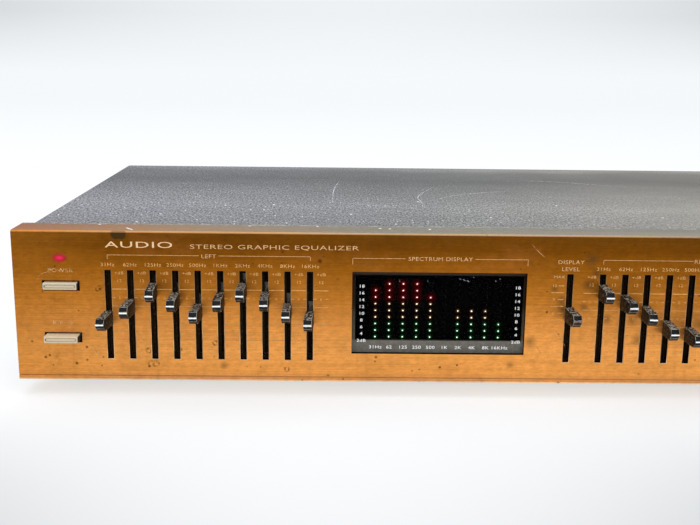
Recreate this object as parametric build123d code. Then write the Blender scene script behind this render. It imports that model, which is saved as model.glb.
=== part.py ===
from build123d import *
import os

# Ten-band stereo graphic equalizer: a low, wide steel case with an anodised aluminium fascia.
# Millimetres. +Z up, front facing -Y, X = 0 on the middle of the fascia, Z = 0 on the surface
# that the feet stand on, and Y = 0 midway between the slider tips and the rear phono shells.
os.makedirs("parts", exist_ok=True)

# Overall sizes
WIDTH = 420.0            # fascia, end to end
FASCIA_HEIGHT = 73.3
FASCIA_DEPTH = 19.1      # front face to the back edge of the fascia's returns
BODY_DEPTH = 241.8       # front face to the back edge of the cover
FOOT_DROP = 8.0          # surface to the fascia's bottom edge
KNOB_REACH = 17.0        # slider knob's tip in front of the face
JACK_REACH = 9.0         # phono shell's tip behind the rear panel
CASE_INSET = 4.0         # cover side, in from the fascia's end

# Sheet and wall thicknesses
FACE_T = 2.6
RETURN_T = 2.5
END_T = 2.5
SHEET = 1.2
BOARD_T = 1.6

# Sliders
BANDS = 10
BAND_PITCH = 10.63
OUTER_BAND_X = 165.23
LEVEL_X = 54.0
SLOT_W = 3.0
SLOT_LOW, SLOT_HIGH = 10.7, 54.5
SLOT_MID = (SLOT_LOW + SLOT_HIGH) / 2
TRAVEL = 35.0
KNOB_W = 3.9
KNOB_GAP = 0.8
LEVER_W, LEVER_H = 1.2, 4.0

# Where each slider rests, above or below the middle of its slot
LEFT_REST = (-0.4, 5.5, 13.5, 8.9, 3.4, 9.1, 13.9, 9.6, 4.1, 0.2)
RIGHT_REST = (14.6, 9.8, 4.4, -2.7, -6.0, -3.5, 1.5, 6.0, 9.0, 11.5)
LEVEL_REST = 3.4

# Display window and lamp matrix
WINDOW_LEFT, WINDOW_RIGHT = -49.5, 33.6
WINDOW_LOW, WINDOW_HIGH = 14.2, 54.7
PANE_LEFT, PANE_RIGHT = -47.9, 32.6
PANE_LOW, PANE_HIGH = 20.2, 52.6
LAMP_COLUMNS, LAMP_ROWS = 10, 9
LAMP_PITCH_X, LAMP_PITCH_Z = 6.68, 3.33
LAMP_LEFT_X, LAMP_LOW_Z = -38.05, 20.5
LAMP_R = 1.0
LAMP_FRONT, LAMP_BACK = 7.6, 10.6

# Push buttons
BUTTON_X = 187.6
BUTTON_UPPER_Z, BUTTON_LOWER_Z = 46.7, 21.2
BUTTON_W, BUTTON_H = 16.4, 3.6
BUTTON_GAP = 0.7         # clearance round a cap in its window
BUTTON_OUT = 5.0         # released cap's front, in front of the face
BUTTON_LATCH = 2.7       # how far the latched power cap sits further in
CAP_LENGTH = 11.5
PLUNGER_SIDE, PLUNGER_LENGTH = 3.0, 13.5

# Power lamp
POWER_LED_Z = 60.2
POWER_LED_W, POWER_LED_H = 5.0, 2.2

# Depth of each layer behind the face
SUB_PANEL = 8.0
POT_FRONT = SUB_PANEL + SHEET
POT_DEPTH = 8.0
SLIDER_BOARD = POT_FRONT + POT_DEPTH
SWITCH_FRONT = 12.0
REAR_PANEL = BODY_DEPTH - 2 * SHEET

# Fasteners
SCREW_R, SCREW_HEAD_R, SCREW_HEAD_T = 1.5, 3.2, 2.0
HOLE_R = SCREW_R + 0.15
SCREW_LENGTH = 6.0

# Phono sockets, seen from behind: four columns of two
JACK_COLUMNS, JACK_PITCH = 4, 15.0
JACK_X, JACK_Z = 128.0, 30.0
SHELL_R, SHELL_BORE_R = 4.15, 3.4
SHELL_FLANGE_R, SHELL_FLANGE_T = 5.4, 0.8
SHELL_TAIL_R = 4.0
PIN_BORE_R = 1.65

# Mains cable gland
GLAND_X, GLAND_Z = -165.0, 22.0
GLAND_BORE_R, GLAND_BODY_R, GLAND_FLANGE_R = 3.4, 5.6, 8.0

# Derived places
FACE_Y = KNOB_REACH - (KNOB_REACH + REAR_PANEL + SHEET + JACK_REACH) / 2
CASE_HALF = WIDTH / 2 - CASE_INSET
CHASSIS_HALF = CASE_HALF - SHEET - 0.1
FLOOR_Z = FOOT_DROP + RETURN_T
COVER_TOP = FOOT_DROP + FASCIA_HEIGHT - 0.3
COVER_UNDER = COVER_TOP - SHEET
FEET = [(sx * 160.0, y) for sx in (-1, 1) for y in (48.0, 212.0)]
SIDE_SCREWS = [(sx, y) for sx in (-1, 1) for y in (46.0, 214.0)]
LIP_SCREW_XS = (-150.0, 0.0, 150.0)
REAR_SCREW_XS = (-185.0, -60.0, 60.0, 185.0)
BAND_XS = [OUTER_BAND_X - i * BAND_PITCH for i in range(BANDS)]
LEFT_XS = [-x for x in BAND_XS]
RIGHT_XS = BAND_XS[::-1]
SLIDERS = [(f"slider_left_{i + 1:02d}", x, r) for i, (x, r) in enumerate(zip(LEFT_XS, LEFT_REST))]
SLIDERS += [(f"slider_right_{i + 1:02d}", x, r) for i, (x, r) in enumerate(zip(RIGHT_XS, RIGHT_REST))]
SLIDERS += [("slider_display_level", LEVEL_X, LEVEL_REST)]
BUTTONS = [
    ("button_power", -BUTTON_X, BUTTON_UPPER_Z, BUTTON_LATCH),
    ("button_left_lower", -BUTTON_X, BUTTON_LOWER_Z, 0.0),
    ("button_right_upper", BUTTON_X, BUTTON_UPPER_Z, 0.0),
    ("button_right_lower", BUTTON_X, BUTTON_LOWER_Z, 0.0),
]


def at(depth):
    """Row Y of a depth behind the fascia's front face."""
    return FACE_Y + depth


def up(height):
    """Row Z of a height above the fascia's bottom edge."""
    return FOOT_DROP + height


def block(x0, x1, y0, y1, z0, z1):
    """Box between two corners."""
    return Pos((x0 + x1) / 2, (y0 + y1) / 2, (z0 + z1) / 2) * Box(x1 - x0, y1 - y0, z1 - z0)


def centred(x, z, width, height, y0, y1):
    """Box centred on (x, z), from depth y0 to depth y1."""
    return block(x - width / 2, x + width / 2, at(y0), at(y1), up(z - height / 2), up(z + height / 2))


def rod_y(x, y0, y1, z, radius):
    """Cylinder along Y between two row Y values."""
    return Pos(x, (y0 + y1) / 2, z) * Rot(90, 0, 0) * Cylinder(radius, y1 - y0)


def rod_x(x0, x1, y, z, radius):
    """Cylinder along X."""
    return Pos((x0 + x1) / 2, y, z) * Rot(0, 90, 0) * Cylinder(radius, x1 - x0)


def post(x, y, z0, z1, radius):
    """Cylinder along Z."""
    return Pos(x, y, (z0 + z1) / 2) * Cylinder(radius, z1 - z0)


def save(name, *solids):
    """Write one node as one STEP file."""
    shape = solids[0] if len(solids) == 1 else Compound(children=[s.solid() for s in solids])
    export_step(shape, f"parts/{name}.step")


def windows(depth0, depth1, slot_w, margin, pane):
    """Cutters for the slots, the button windows, the power lamp and the display."""
    cuts = [centred(x, SLOT_MID, slot_w, SLOT_HIGH - SLOT_LOW + 2 * margin, depth0, depth1)
            for _, x, _ in SLIDERS]
    for _, x, z, _ in BUTTONS:
        width = BUTTON_W + 2 * (BUTTON_GAP + margin)
        height = BUTTON_H + 2 * (BUTTON_GAP + margin)
        cuts.append(centred(x, z, width, height, depth0, depth1))
    lamp_gap = 0.2 + margin
    cuts.append(centred(-BUTTON_X, POWER_LED_Z, POWER_LED_W + lamp_gap, POWER_LED_H + lamp_gap, depth0, depth1))
    left, right, low, high = pane
    cuts.append(block(left, right, at(depth0), at(depth1), up(low), up(high)))
    return cuts


def front_fascia():
    """Extruded face with top and bottom returns, a lip groove and all the cut-outs."""
    half = WIDTH / 2
    top = up(FASCIA_HEIGHT)
    bevel, groove_z, groove_h, groove_d = 0.8, 2.0, 0.6, 0.5
    plate = block(-half, half, at(0), at(FACE_T), up(0), top)
    plate += block(-half, half, at(0), at(FASCIA_DEPTH), top - RETURN_T, top)
    plate += block(-half, half, at(0), at(FASCIA_DEPTH), up(0), up(RETURN_T))
    front_edges = plate.edges().filter_by(Axis.X).group_by(Axis.Y)[0]
    plate = chamfer(front_edges.sort_by(Axis.Z)[-1], bevel)
    plate -= block(-half, half, at(0), at(groove_d), up(groove_z), up(groove_z + groove_h))
    plate -= windows(-1, FACE_T + 1, SLOT_W, 0, (WINDOW_LEFT, WINDOW_RIGHT, WINDOW_LOW, WINDOW_HIGH))
    plate -= [post(x, at(14), up(-1), up(RETURN_T + 1), HOLE_R) for x in REAR_SCREW_XS]
    return plate


def fascia_end_cap(side):
    """Plate that closes one end of the fascia, with a flange back to the cover."""
    outer, inner = side * WIDTH / 2, side * (WIDTH / 2 - END_T)
    flange = side * (CASE_HALF + 0.2)
    low, high = up(RETURN_T), up(FASCIA_HEIGHT - RETURN_T)
    plate = block(min(outer, inner), max(outer, inner), at(FACE_T), at(FASCIA_DEPTH), low, high)
    plate += block(min(inner, flange), max(inner, flange), at(FASCIA_DEPTH - 2), at(FASCIA_DEPTH), low, high)
    return plate


def sub_panel():
    """Steel plate behind the fascia that carries the slide controls and switches."""
    half, low, high = CHASSIS_HALF - SHEET - 0.4, FLOOR_Z + SHEET, up(FASCIA_HEIGHT - RETURN_T)
    flange_back = FASCIA_DEPTH - 0.5
    plate = block(-half, half, at(SUB_PANEL), at(SUB_PANEL + SHEET), low, high)
    plate += block(-half, half, at(SUB_PANEL), at(flange_back), low, low + SHEET)
    plate += block(-half, half, at(SUB_PANEL), at(flange_back), high - SHEET, high)
    clear = (WINDOW_LEFT - 2, WINDOW_RIGHT + 2, WINDOW_LOW - 2, WINDOW_HIGH + 2)
    plate -= windows(SUB_PANEL - 1, SUB_PANEL + SHEET + 1, SLOT_W + 1.4, 0.3, clear)
    plate -= [post(x, at(14), low - 1, low + SHEET + 1, HOLE_R) for x in REAR_SCREW_XS]
    return plate


def display_frame():
    """Grey surround behind the window, deeper at the bottom where the band legend is printed."""
    rim = 2.5
    frame = block(WINDOW_LEFT - rim, WINDOW_RIGHT + rim, at(FACE_T), at(FACE_T + 2),
                  up(WINDOW_LOW - rim), up(WINDOW_HIGH + rim))
    frame -= block(PANE_LEFT, PANE_RIGHT, at(0), at(FACE_T + 3), up(PANE_LOW), up(PANE_HIGH))
    return frame


def display_lens():
    """Smoked pane that fills the surround, with a step that seats on its back."""
    rim = 1.5
    pane = block(PANE_LEFT, PANE_RIGHT, at(FACE_T + 0.4), at(FACE_T + 2), up(PANE_LOW), up(PANE_HIGH))
    pane += block(PANE_LEFT - rim, PANE_RIGHT + rim, at(FACE_T + 2), at(FACE_T + 3),
                  up(PANE_LOW - rim), up(PANE_HIGH + rim))
    return pane


def lamp_places(rows):
    """(x, z) of every lamp in the given rows of the matrix."""
    xs = [LAMP_LEFT_X + c * LAMP_PITCH_X for c in range(LAMP_COLUMNS)]
    return [(x, up(LAMP_LOW_Z + r * LAMP_PITCH_Z)) for r in rows for x in xs]


def lamps(rows):
    """One row group of the display's lamps, each its own solid."""
    return [rod_y(x, at(LAMP_FRONT), at(LAMP_BACK), z, LAMP_R) for x, z in lamp_places(rows)]


def led_mask():
    """Black plate that holds the lamps apart, with one hole for each."""
    plate = block(WINDOW_LEFT, WINDOW_RIGHT, at(LAMP_FRONT + 0.5), at(LAMP_BACK), up(17.5), up(WINDOW_HIGH))
    holes = [rod_y(x, at(LAMP_FRONT - 1), at(LAMP_BACK + 1), z, LAMP_R + 0.1)
             for x, z in lamp_places(range(LAMP_ROWS))]
    return plate - holes


def display_board():
    """Circuit board behind the lamps."""
    return block(WINDOW_LEFT, WINDOW_RIGHT, at(LAMP_BACK), at(LAMP_BACK + BOARD_T), up(15), up(57))


def power_led():
    """Rectangular power lamp, just proud of the face, held in the sub-panel."""
    return centred(-BUTTON_X, POWER_LED_Z, POWER_LED_W, POWER_LED_H, -0.4, SWITCH_FRONT)


def slider_board():
    """Upright circuit board on the backs of the slide controls."""
    half = OUTER_BAND_X + 12
    return block(-half, half, at(SLIDER_BOARD), at(SLIDER_BOARD + BOARD_T), up(7), up(66))


def slide_pot_housing(x):
    """Sheet-metal can of one slide control: a hollow box with a slot along its front."""
    width, length, wall = 8.4, 54.0, 0.8
    can = centred(x, SLOT_MID, width, length, POT_FRONT, POT_FRONT + POT_DEPTH)
    can -= centred(x, SLOT_MID, width - 2 * wall, length - 2 * wall, POT_FRONT + wall, SLIDER_BOARD - wall)
    can -= centred(x, SLOT_MID, LEVER_W + 0.8, TRAVEL + LEVER_H + 3, POT_FRONT - 1, POT_FRONT + wall + 1)
    return can


def slider(x, rest):
    """One slide control's moving pieces: knob, lever blade and carriage, at its rest height."""
    z, pocket = SLOT_MID + rest, 8.0
    profile = [(-KNOB_GAP, 2.6), (-15.7, 2.5), (-KNOB_REACH, 0.45), (-KNOB_REACH, -0.45),
               (-16.0, -1.8), (-14.0, -3.5), (-KNOB_GAP, -4.3)]
    outline = Polyline([(0, at(d), up(z + h)) for d, h in profile], close=True)
    knob = Pos(x, 0, 0) * extrude(make_face(outline), amount=KNOB_W / 2, both=True, dir=(1, 0, 0))
    knob -= centred(x, z, LEVER_W + 0.1, LEVER_H + 0.1, -pocket, 0)
    lever = centred(x, z, LEVER_W, LEVER_H, -pocket, POT_FRONT + 1.8)
    carriage = centred(x, z, 6.2, 9.0, POT_FRONT + 1.8, POT_FRONT + 6.4)
    return knob, lever, carriage


def switch_housing(x, z, length):
    """Push switch body with a bracket to the sub-panel and a square way for its plunger."""
    back = SWITCH_FRONT + length
    body = centred(x, z, 12, 10, SWITCH_FRONT, back)
    body += centred(x, z, 25, 8, SWITCH_FRONT, SWITCH_FRONT + SHEET)
    for side in (-1, 1):
        body += centred(x + side * 11.5, z, 2, 8, SUB_PANEL + SHEET, SWITCH_FRONT)
    way = PLUNGER_SIDE + 0.6
    return body - centred(x, z, way, way, SWITCH_FRONT - 1, SWITCH_FRONT + 18)


def button(x, z, inset):
    """Cap with a bevelled front, and the plunger behind it."""
    front = inset - BUTTON_OUT
    cap = centred(x, z, BUTTON_W, BUTTON_H, front, front + CAP_LENGTH)
    rim = cap.faces().sort_by(Axis.Y)[0].edges()
    cap = chamfer(rim, 0.4)
    cap -= centred(x, z, BUTTON_W - 2.4, BUTTON_H - 1.8, front - 1, front + 0.3)
    back = front + CAP_LENGTH
    plunger = centred(x, z, PLUNGER_SIDE, PLUNGER_SIDE, back, back + PLUNGER_LENGTH)
    return cap, plunger


def chassis_base():
    """Bottom tray: floor with cooling slots, low side flanges and a rear flange."""
    half, front, back = CHASSIS_HALF, at(SUB_PANEL + SHEET), at(REAR_PANEL)
    tray = block(-half, half, front, back, FLOOR_Z, FLOOR_Z + SHEET)
    for side in (-1, 1):
        outer, inner = side * half, side * (half - SHEET)
        tray += block(min(outer, inner), max(outer, inner), front, back, FLOOR_Z, FLOOR_Z + 18)
    tray += block(-half, half, back - SHEET, back, FLOOR_Z, FLOOR_Z + 12)
    low, high = FLOOR_Z - 1, FLOOR_Z + SHEET + 1
    slot_rows = [(row_y, x) for row_y in (90, 150) for x in range(-140, 141, 14)]
    tray -= [block(x - 1.5, x + 1.5, at(y - 16), at(y + 16), low, high) for y, x in slot_rows]
    tray -= [post(x, at(y), low, high, HOLE_R) for x, y in FEET + BOARD_POSTS]
    tray -= [post(x, at(14), low, high, HOLE_R) for x in REAR_SCREW_XS]
    tray -= [rod_x(s * half - 3, s * half + 3, at(y), FLOOR_Z + 9, HOLE_R) for s, y in SIDE_SCREWS]
    tray -= [rod_y(x, back - 3, back + 1, FLOOR_Z + 7, HOLE_R) for x in REAR_SCREW_XS]
    return tray


def rear_panel():
    """Back plate with openings for the phono sockets and the cable gland."""
    back = at(REAR_PANEL)
    plate = block(-CHASSIS_HALF, CHASSIS_HALF, back, back + SHEET, FLOOR_Z, COVER_UNDER - 0.2)
    plate = chamfer(plate.edges().filter_by(Axis.Y).group_by(Axis.Z)[-1], 1.5)
    plate -= [rod_y(x, back - 1, back + 3, z, SHELL_TAIL_R + 0.5) for x, z in jack_places()]
    plate -= rod_y(GLAND_X, back - 1, back + 3, up(GLAND_Z), GLAND_BODY_R + 0.1)
    plate -= [rod_y(x, back - 1, back + 3, FLOOR_Z + 7, HOLE_R) for x in REAR_SCREW_XS]
    plate -= [rod_y(x, back - 1, back + 3, COVER_TOP - 7, HOLE_R) for x in LIP_SCREW_XS]
    return plate


def top_cover():
    """Folded sheet cover: top, two sides and a rear lip outside the rear panel."""
    front, back, bend = at(FASCIA_DEPTH), at(BODY_DEPTH), 2.0
    outer = block(-CASE_HALF, CASE_HALF, front, back, FLOOR_Z, COVER_TOP)
    outer = fillet(outer.edges().filter_by(Axis.Y).group_by(Axis.Z)[-1], bend)
    inside = CASE_HALF - SHEET
    inner = block(-inside, inside, front - 1, back - SHEET, FLOOR_Z - 1, COVER_UNDER)
    inner = fillet(inner.edges().filter_by(Axis.Y).group_by(Axis.Z)[-1], bend - SHEET)
    cover = outer - inner
    cover -= block(-inside, inside, back - 2 * SHEET, back + 1, FLOOR_Z - 1, COVER_TOP - 12)
    cover -= [rod_x(s * CASE_HALF - 3, s * CASE_HALF + 3, at(y), FLOOR_Z + 9, HOLE_R)
              for s, y in SIDE_SCREWS]
    cover -= [rod_y(x, back - 3, back + 1, COVER_TOP - 7, HOLE_R) for x in LIP_SCREW_XS]
    return cover


def foot(x, y):
    """Round foot, wider at the top, with a recess for its screw's head."""
    height = FLOOR_Z
    body = Pos(x, at(y), height / 2) * Cone(11.0, 12.5, height)
    body -= post(x, at(y), -1, height - 4, SCREW_HEAD_R + 0.8)
    return body - post(x, at(y), 0, height + 1, HOLE_R)


def screw(length):
    """Pan-head screw with a cross recess, pointing down, its head's underside at Z = 0."""
    head = Pos(0, 0, SCREW_HEAD_T / 2) * Cylinder(SCREW_HEAD_R, SCREW_HEAD_T)
    head = fillet(head.edges().sort_by(Axis.Z)[-1], 0.9)
    slot_w, slot_l, slot_d = 0.8, 3.6, 1.0
    for size in ((slot_w, slot_l), (slot_l, slot_w)):
        head -= Pos(0, 0, SCREW_HEAD_T) * Box(size[0], size[1], 2 * slot_d)
    return head + Pos(0, 0, -length / 2) * Cylinder(SCREW_R, length)


def cover_screws():
    """Screws through the cover's sides and rear lip, and through the rear panel's foot."""
    pin = screw(SCREW_LENGTH)
    placed = []
    for s, y in SIDE_SCREWS:
        placed.append(Pos(s * CASE_HALF, at(y), FLOOR_Z + 9) * Rot(0, s * 90, 0) * pin)
    for x in LIP_SCREW_XS:
        placed.append(Pos(x, at(BODY_DEPTH), COVER_TOP - 7) * Rot(-90, 0, 0) * pin)
    for x in REAR_SCREW_XS:
        placed.append(Pos(x, at(REAR_PANEL) + SHEET, FLOOR_Z + 7) * Rot(-90, 0, 0) * pin)
    return placed


def fascia_screws():
    """Screws up through the fascia's bottom return, the tray and the sub-panel."""
    return [Pos(x, at(14), up(0)) * Rot(180, 0, 0) * screw(SCREW_LENGTH) for x in REAR_SCREW_XS]


def foot_screws():
    """Screws up through the feet into the tray."""
    return [Pos(x, at(y), FLOOR_Z - 4) * Rot(180, 0, 0) * screw(8.0) for x, y in FEET]


# Main board, its posts and what stands on it
BOARD_LEFT, BOARD_RIGHT, BOARD_FRONT, BOARD_BACK = -70.0, 190.0, 40.0, 222.0
BOARD_UNDER = FLOOR_Z + SHEET + 7
BOARD_TOP = BOARD_UNDER + BOARD_T
BOARD_POSTS = [(x, y) for x in (-62.0, 60.0, 182.0) for y in (48.0, 214.0) if (x, y) != (60.0, 214.0)]
TRANSFORMER_X, TRANSFORMER_Y = -130.0, 180.0


def main_board():
    """Level circuit board that carries the filters and the power supply."""
    board = block(BOARD_LEFT, BOARD_RIGHT, at(BOARD_FRONT), at(BOARD_BACK), BOARD_UNDER, BOARD_TOP)
    return board - [post(x, at(y), BOARD_UNDER - 1, BOARD_TOP + 1, HOLE_R) for x, y in BOARD_POSTS]


def board_standoffs():
    """Posts under the main board, and between the display board and the slider board."""
    floor = FLOOR_Z + SHEET
    posts = [post(x, at(y), floor, BOARD_UNDER, 3.0) - post(x, at(y), floor - 1, BOARD_UNDER + 1, HOLE_R)
             for x, y in BOARD_POSTS]
    corners = [(x, z) for x in (WINDOW_LEFT + 4, WINDOW_RIGHT - 4) for z in (18, 54)]
    posts += [rod_y(x, at(LAMP_BACK + BOARD_T), at(SLIDER_BOARD), up(z), 2.0) for x, z in corners]
    return posts


def board_screws():
    """Screws down through the main board into its posts."""
    return [Pos(x, at(y), BOARD_TOP) * screw(SCREW_LENGTH) for x, y in BOARD_POSTS]


def transformer_core():
    """Laminated core with two windows, and mounting feet on the tray."""
    x, y, low = TRANSFORMER_X, TRANSFORMER_Y, FLOOR_Z + SHEET
    width, stack, height, leg = 66.0, 22.0, 55.0, 11.0
    core = block(x - width / 2, x + width / 2, at(y - stack / 2), at(y + stack / 2), low, low + height)
    for side in (-1, 1):
        x0, x1 = sorted((x + side * leg, x + side * 2 * leg))
        core -= block(x0, x1, at(y - stack), at(y + stack), low + leg, low + height - leg)
    for side in (-1, 1):
        y0, y1 = sorted((y + side * stack / 2, y + side * (stack / 2 + 10)))
        core += block(x - width / 2, x + width / 2, at(y0), at(y1), low, low + 2)
    return core


def transformer_winding():
    """Taped coil round the core's middle leg."""
    x, y, low = TRANSFORMER_X, TRANSFORMER_Y, FLOOR_Z + SHEET + 11.4
    coil = block(x - 21.6, x + 21.6, at(y - 21), at(y + 21), low, low + 32.2)
    coil = fillet(coil.edges().filter_by(Axis.Z), 4)
    return coil - block(x - 11.1, x + 11.1, at(y - 11.1), at(y + 11.1), low - 1, low + 34)


def filter_capacitors():
    """Supply reservoir cans and smaller coupling cans on the main board."""
    cans = [post(x, at(195), BOARD_TOP, BOARD_TOP + 35, 9.0) for x in (-40, -15)]
    cans += [post(x, at(y), BOARD_TOP, BOARD_TOP + 12, 4.0) for x in range(30, 171, 20) for y in (70, 120)]
    return cans


def op_amp_ics():
    """Dual in-line amplifier packages, one for each pair of bands and the detector stages."""
    return [block(x - 4.9, x + 4.9, at(y - 3.2), at(y + 3.2), BOARD_TOP, BOARD_TOP + 4)
            for x in range(20, 181, 20) for y in (95, 145)]


def heat_sink():
    """Finned heat sink for the supply regulator."""
    x, y = 15.0, 195.0
    sink = block(x - 15, x + 15, at(y), at(y + 3), BOARD_TOP, BOARD_TOP + 32)
    for i in range(6):
        fin = x - 15 + i * 5.7
        sink += block(fin, fin + 1.5, at(y + 3), at(y + 14), BOARD_TOP, BOARD_TOP + 32)
    return sink


FUSE_X, FUSE_Y, FUSE_R, FUSE_LENGTH = -55.0, 130.0, 2.6, 20.0


def fuse():
    """Glass supply fuse."""
    z = BOARD_TOP + 5
    return rod_y(FUSE_X, at(FUSE_Y - FUSE_LENGTH / 2), at(FUSE_Y + FUSE_LENGTH / 2), z, FUSE_R)


def fuse_clips():
    """Two spring clips that hold the fuse by its ends."""
    clips = []
    for side in (-1, 1):
        y = FUSE_Y + side * 7.5
        clip = block(FUSE_X - 3.6, FUSE_X + 3.6, at(y - 2), at(y + 2), BOARD_TOP, BOARD_TOP + 7.5)
        clip -= rod_y(FUSE_X, at(y - 3), at(y + 3), BOARD_TOP + 5, FUSE_R + 0.05)
        clip -= block(FUSE_X - 1.8, FUSE_X + 1.8, at(y - 3), at(y + 3), BOARD_TOP + 5, BOARD_TOP + 9)
        clips.append(clip)
    return clips


def jack_places():
    """(x, z) of every phono socket."""
    xs = [JACK_X + (c - (JACK_COLUMNS - 1) / 2) * JACK_PITCH for c in range(JACK_COLUMNS)]
    return [(x, up(JACK_Z + dz)) for x in xs for dz in (-JACK_PITCH / 2, JACK_PITCH / 2)]


def jack_block():
    """Moulded carrier behind the rear panel that holds all the sockets."""
    back, width, height = at(REAR_PANEL), JACK_COLUMNS * JACK_PITCH, 2 * JACK_PITCH
    carrier = block(JACK_X - width / 2, JACK_X + width / 2, back - 10, back,
                    up(JACK_Z) - height / 2, up(JACK_Z) + height / 2)
    return carrier - [rod_y(x, back - 4, back + 1, z, SHELL_TAIL_R + 0.02) for x, z in jack_places()]


def jack_shell(x, z):
    """Outer contact of one socket: a flanged, plated tube that a plug's collar slides over."""
    back, outside = at(REAR_PANEL) - 4, at(REAR_PANEL) + SHEET
    tip = outside + JACK_REACH
    shell = rod_y(x, back, outside, z, SHELL_TAIL_R)
    shell += rod_y(x, outside, outside + SHELL_FLANGE_T, z, SHELL_FLANGE_R)
    shell += rod_y(x, outside + SHELL_FLANGE_T, tip, z, SHELL_R)
    return shell - rod_y(x, back - 1, tip + 1, z, SHELL_BORE_R)


def jack_insulators():
    """Coloured insulator in each shell, with the hole for the plug's pin."""
    back, tip = at(REAR_PANEL) - 4, at(REAR_PANEL) + SHEET + JACK_REACH - 0.8
    return [rod_y(x, back, tip, z, SHELL_BORE_R - 0.02) - rod_y(x, tip - 9, tip + 1, z, PIN_BORE_R)
            for x, z in jack_places()]


def cord_gland():
    """Flanged bushing in the rear panel that the mains cable passes through."""
    back, z = at(REAR_PANEL), up(GLAND_Z)
    gland = rod_y(GLAND_X, back - 5, back + SHEET, z, GLAND_BODY_R)
    gland += rod_y(GLAND_X, back + SHEET, back + SHEET + 3, z, GLAND_FLANGE_R)
    gland += rod_y(GLAND_X, back - 5, back, z, GLAND_FLANGE_R - 1)
    return gland - rod_y(GLAND_X, back - 6, back + SHEET + 4, z, GLAND_BORE_R)


save("front_fascia", front_fascia())
save("fascia_end_caps", fascia_end_cap(-1), fascia_end_cap(1))
save("sub_panel", sub_panel())
save("display_frame", display_frame())
save("display_lens", display_lens())
save("leds_green", *lamps(range(0, 3)))
save("leds_yellow", *lamps(range(3, 6)))
save("leds_red", *lamps(range(6, 9)))
save("led_mask", led_mask())
save("display_board", display_board())
save("power_led", power_led())
save("slider_board", slider_board())
save("slide_pot_housings", *[slide_pot_housing(x) for _, x, _ in SLIDERS])
save("power_switch_housing", switch_housing(-BUTTON_X, BUTTON_UPPER_Z, 30))
save("function_switch_housings", *[switch_housing(x, z, 24) for _, x, z, _ in BUTTONS[1:]])
save("main_board", main_board())
save("transformer_core", transformer_core())
save("transformer_winding", transformer_winding())
save("filter_capacitors", *filter_capacitors())
save("op_amp_ics", *op_amp_ics())
save("heat_sink", heat_sink())
save("fuse", fuse())
save("fuse_clips", *fuse_clips())
save("board_standoffs", *board_standoffs())
save("chassis_base", chassis_base())
save("rear_panel", rear_panel())
save("top_cover", top_cover())
save("feet", *[foot(x, y) for x, y in FEET])
save("cover_screws", *cover_screws())
save("chassis_screws", *fascia_screws(), *foot_screws(), *board_screws())
save("jack_block", jack_block())
save("jack_shells", *[jack_shell(x, z) for x, z in jack_places()])
save("jack_insulators", *jack_insulators())
save("cord_gland", cord_gland())
for name, x, rest in SLIDERS:
    save(name, *slider(x, rest))
for name, x, z, inset in BUTTONS:
    save(name, *button(x, z, inset))
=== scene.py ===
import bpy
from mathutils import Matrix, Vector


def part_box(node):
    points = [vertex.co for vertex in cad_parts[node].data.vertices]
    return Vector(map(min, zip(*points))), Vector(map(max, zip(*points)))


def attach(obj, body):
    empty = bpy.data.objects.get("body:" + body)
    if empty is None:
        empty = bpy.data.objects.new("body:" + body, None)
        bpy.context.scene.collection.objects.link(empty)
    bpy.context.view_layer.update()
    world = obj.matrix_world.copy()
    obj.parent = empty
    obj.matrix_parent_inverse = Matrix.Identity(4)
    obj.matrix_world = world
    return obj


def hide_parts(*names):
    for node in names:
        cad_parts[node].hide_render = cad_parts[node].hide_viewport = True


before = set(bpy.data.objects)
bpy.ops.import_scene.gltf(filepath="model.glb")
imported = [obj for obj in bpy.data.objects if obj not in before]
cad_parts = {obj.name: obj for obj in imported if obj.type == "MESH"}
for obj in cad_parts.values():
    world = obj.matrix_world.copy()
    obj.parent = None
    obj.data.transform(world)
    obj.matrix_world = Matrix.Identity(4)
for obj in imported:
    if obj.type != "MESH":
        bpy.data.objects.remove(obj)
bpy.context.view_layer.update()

import math
import random

import bmesh
import bpy
from mathutils import Matrix, Vector

# Ten-band stereo graphic equalizer: looks, camera and light. Metres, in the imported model's frame.
MM = 0.001
CASE = "case"

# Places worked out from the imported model
FACE_LOW, FACE_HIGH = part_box("front_fascia")
COVER_LOW, COVER_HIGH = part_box("top_cover")
REAR_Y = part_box("rear_panel")[1].y
PANE_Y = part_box("display_lens")[0].y
SURROUND_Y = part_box("display_frame")[0].y
FACE_Y = FACE_LOW.y
SLIDERS = sorted(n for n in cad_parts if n.startswith("slider_"))
SLIDERS = [n for n in SLIDERS if n != "slider_board"]
BUTTONS = sorted(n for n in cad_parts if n.startswith("button_"))

# Printing on the fascia, millimetres above its bottom edge
BAND_NAMES = ("31Hz", "62Hz", "125Hz", "250Hz", "500Hz", "1KHz", "2KHz", "4KHz", "8KHz", "16KHz")
LAMP_BANDS = ("31Hz", "62", "125", "250", "500", "1K", "2K", "4K", "8K", "16KHz")
LAMP_LEVELS = ("2dB", "4", "6", "8", "10", "12", "14", "16", "18")
LEVEL_STEP = 3.37        # between two of those levels
ZERO_LINE, LINE_STEP = 32.8, 4.15
INK = 0.02               # how proud the ink stands
CAP_SHARE = 0.72         # height of a capital letter as a share of the type's size
SLOT_HIGHLIGHT_WIDTH = 0.30          # width of the painted highlight round each slot
WIDEST_SLOT = 4.0        # a wider cut is a window, with no painted highlight
CUT_DEPTH = 4.0          # a wall of a cut lies no further back than this
RIM = 4.0                # no cut comes nearer to the fascia's top and bottom
LARGE_FACE = 600.0       # square millimetres: a panel's flat side, rather than a fold or a small part


def mm(*values):
    """Millimetres to a point in metres."""
    return Vector([v * MM for v in values])


def up(height):
    """Metres above the ground of a height in millimetres above the fascia's bottom edge."""
    return FACE_LOW.z + height * MM


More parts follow.
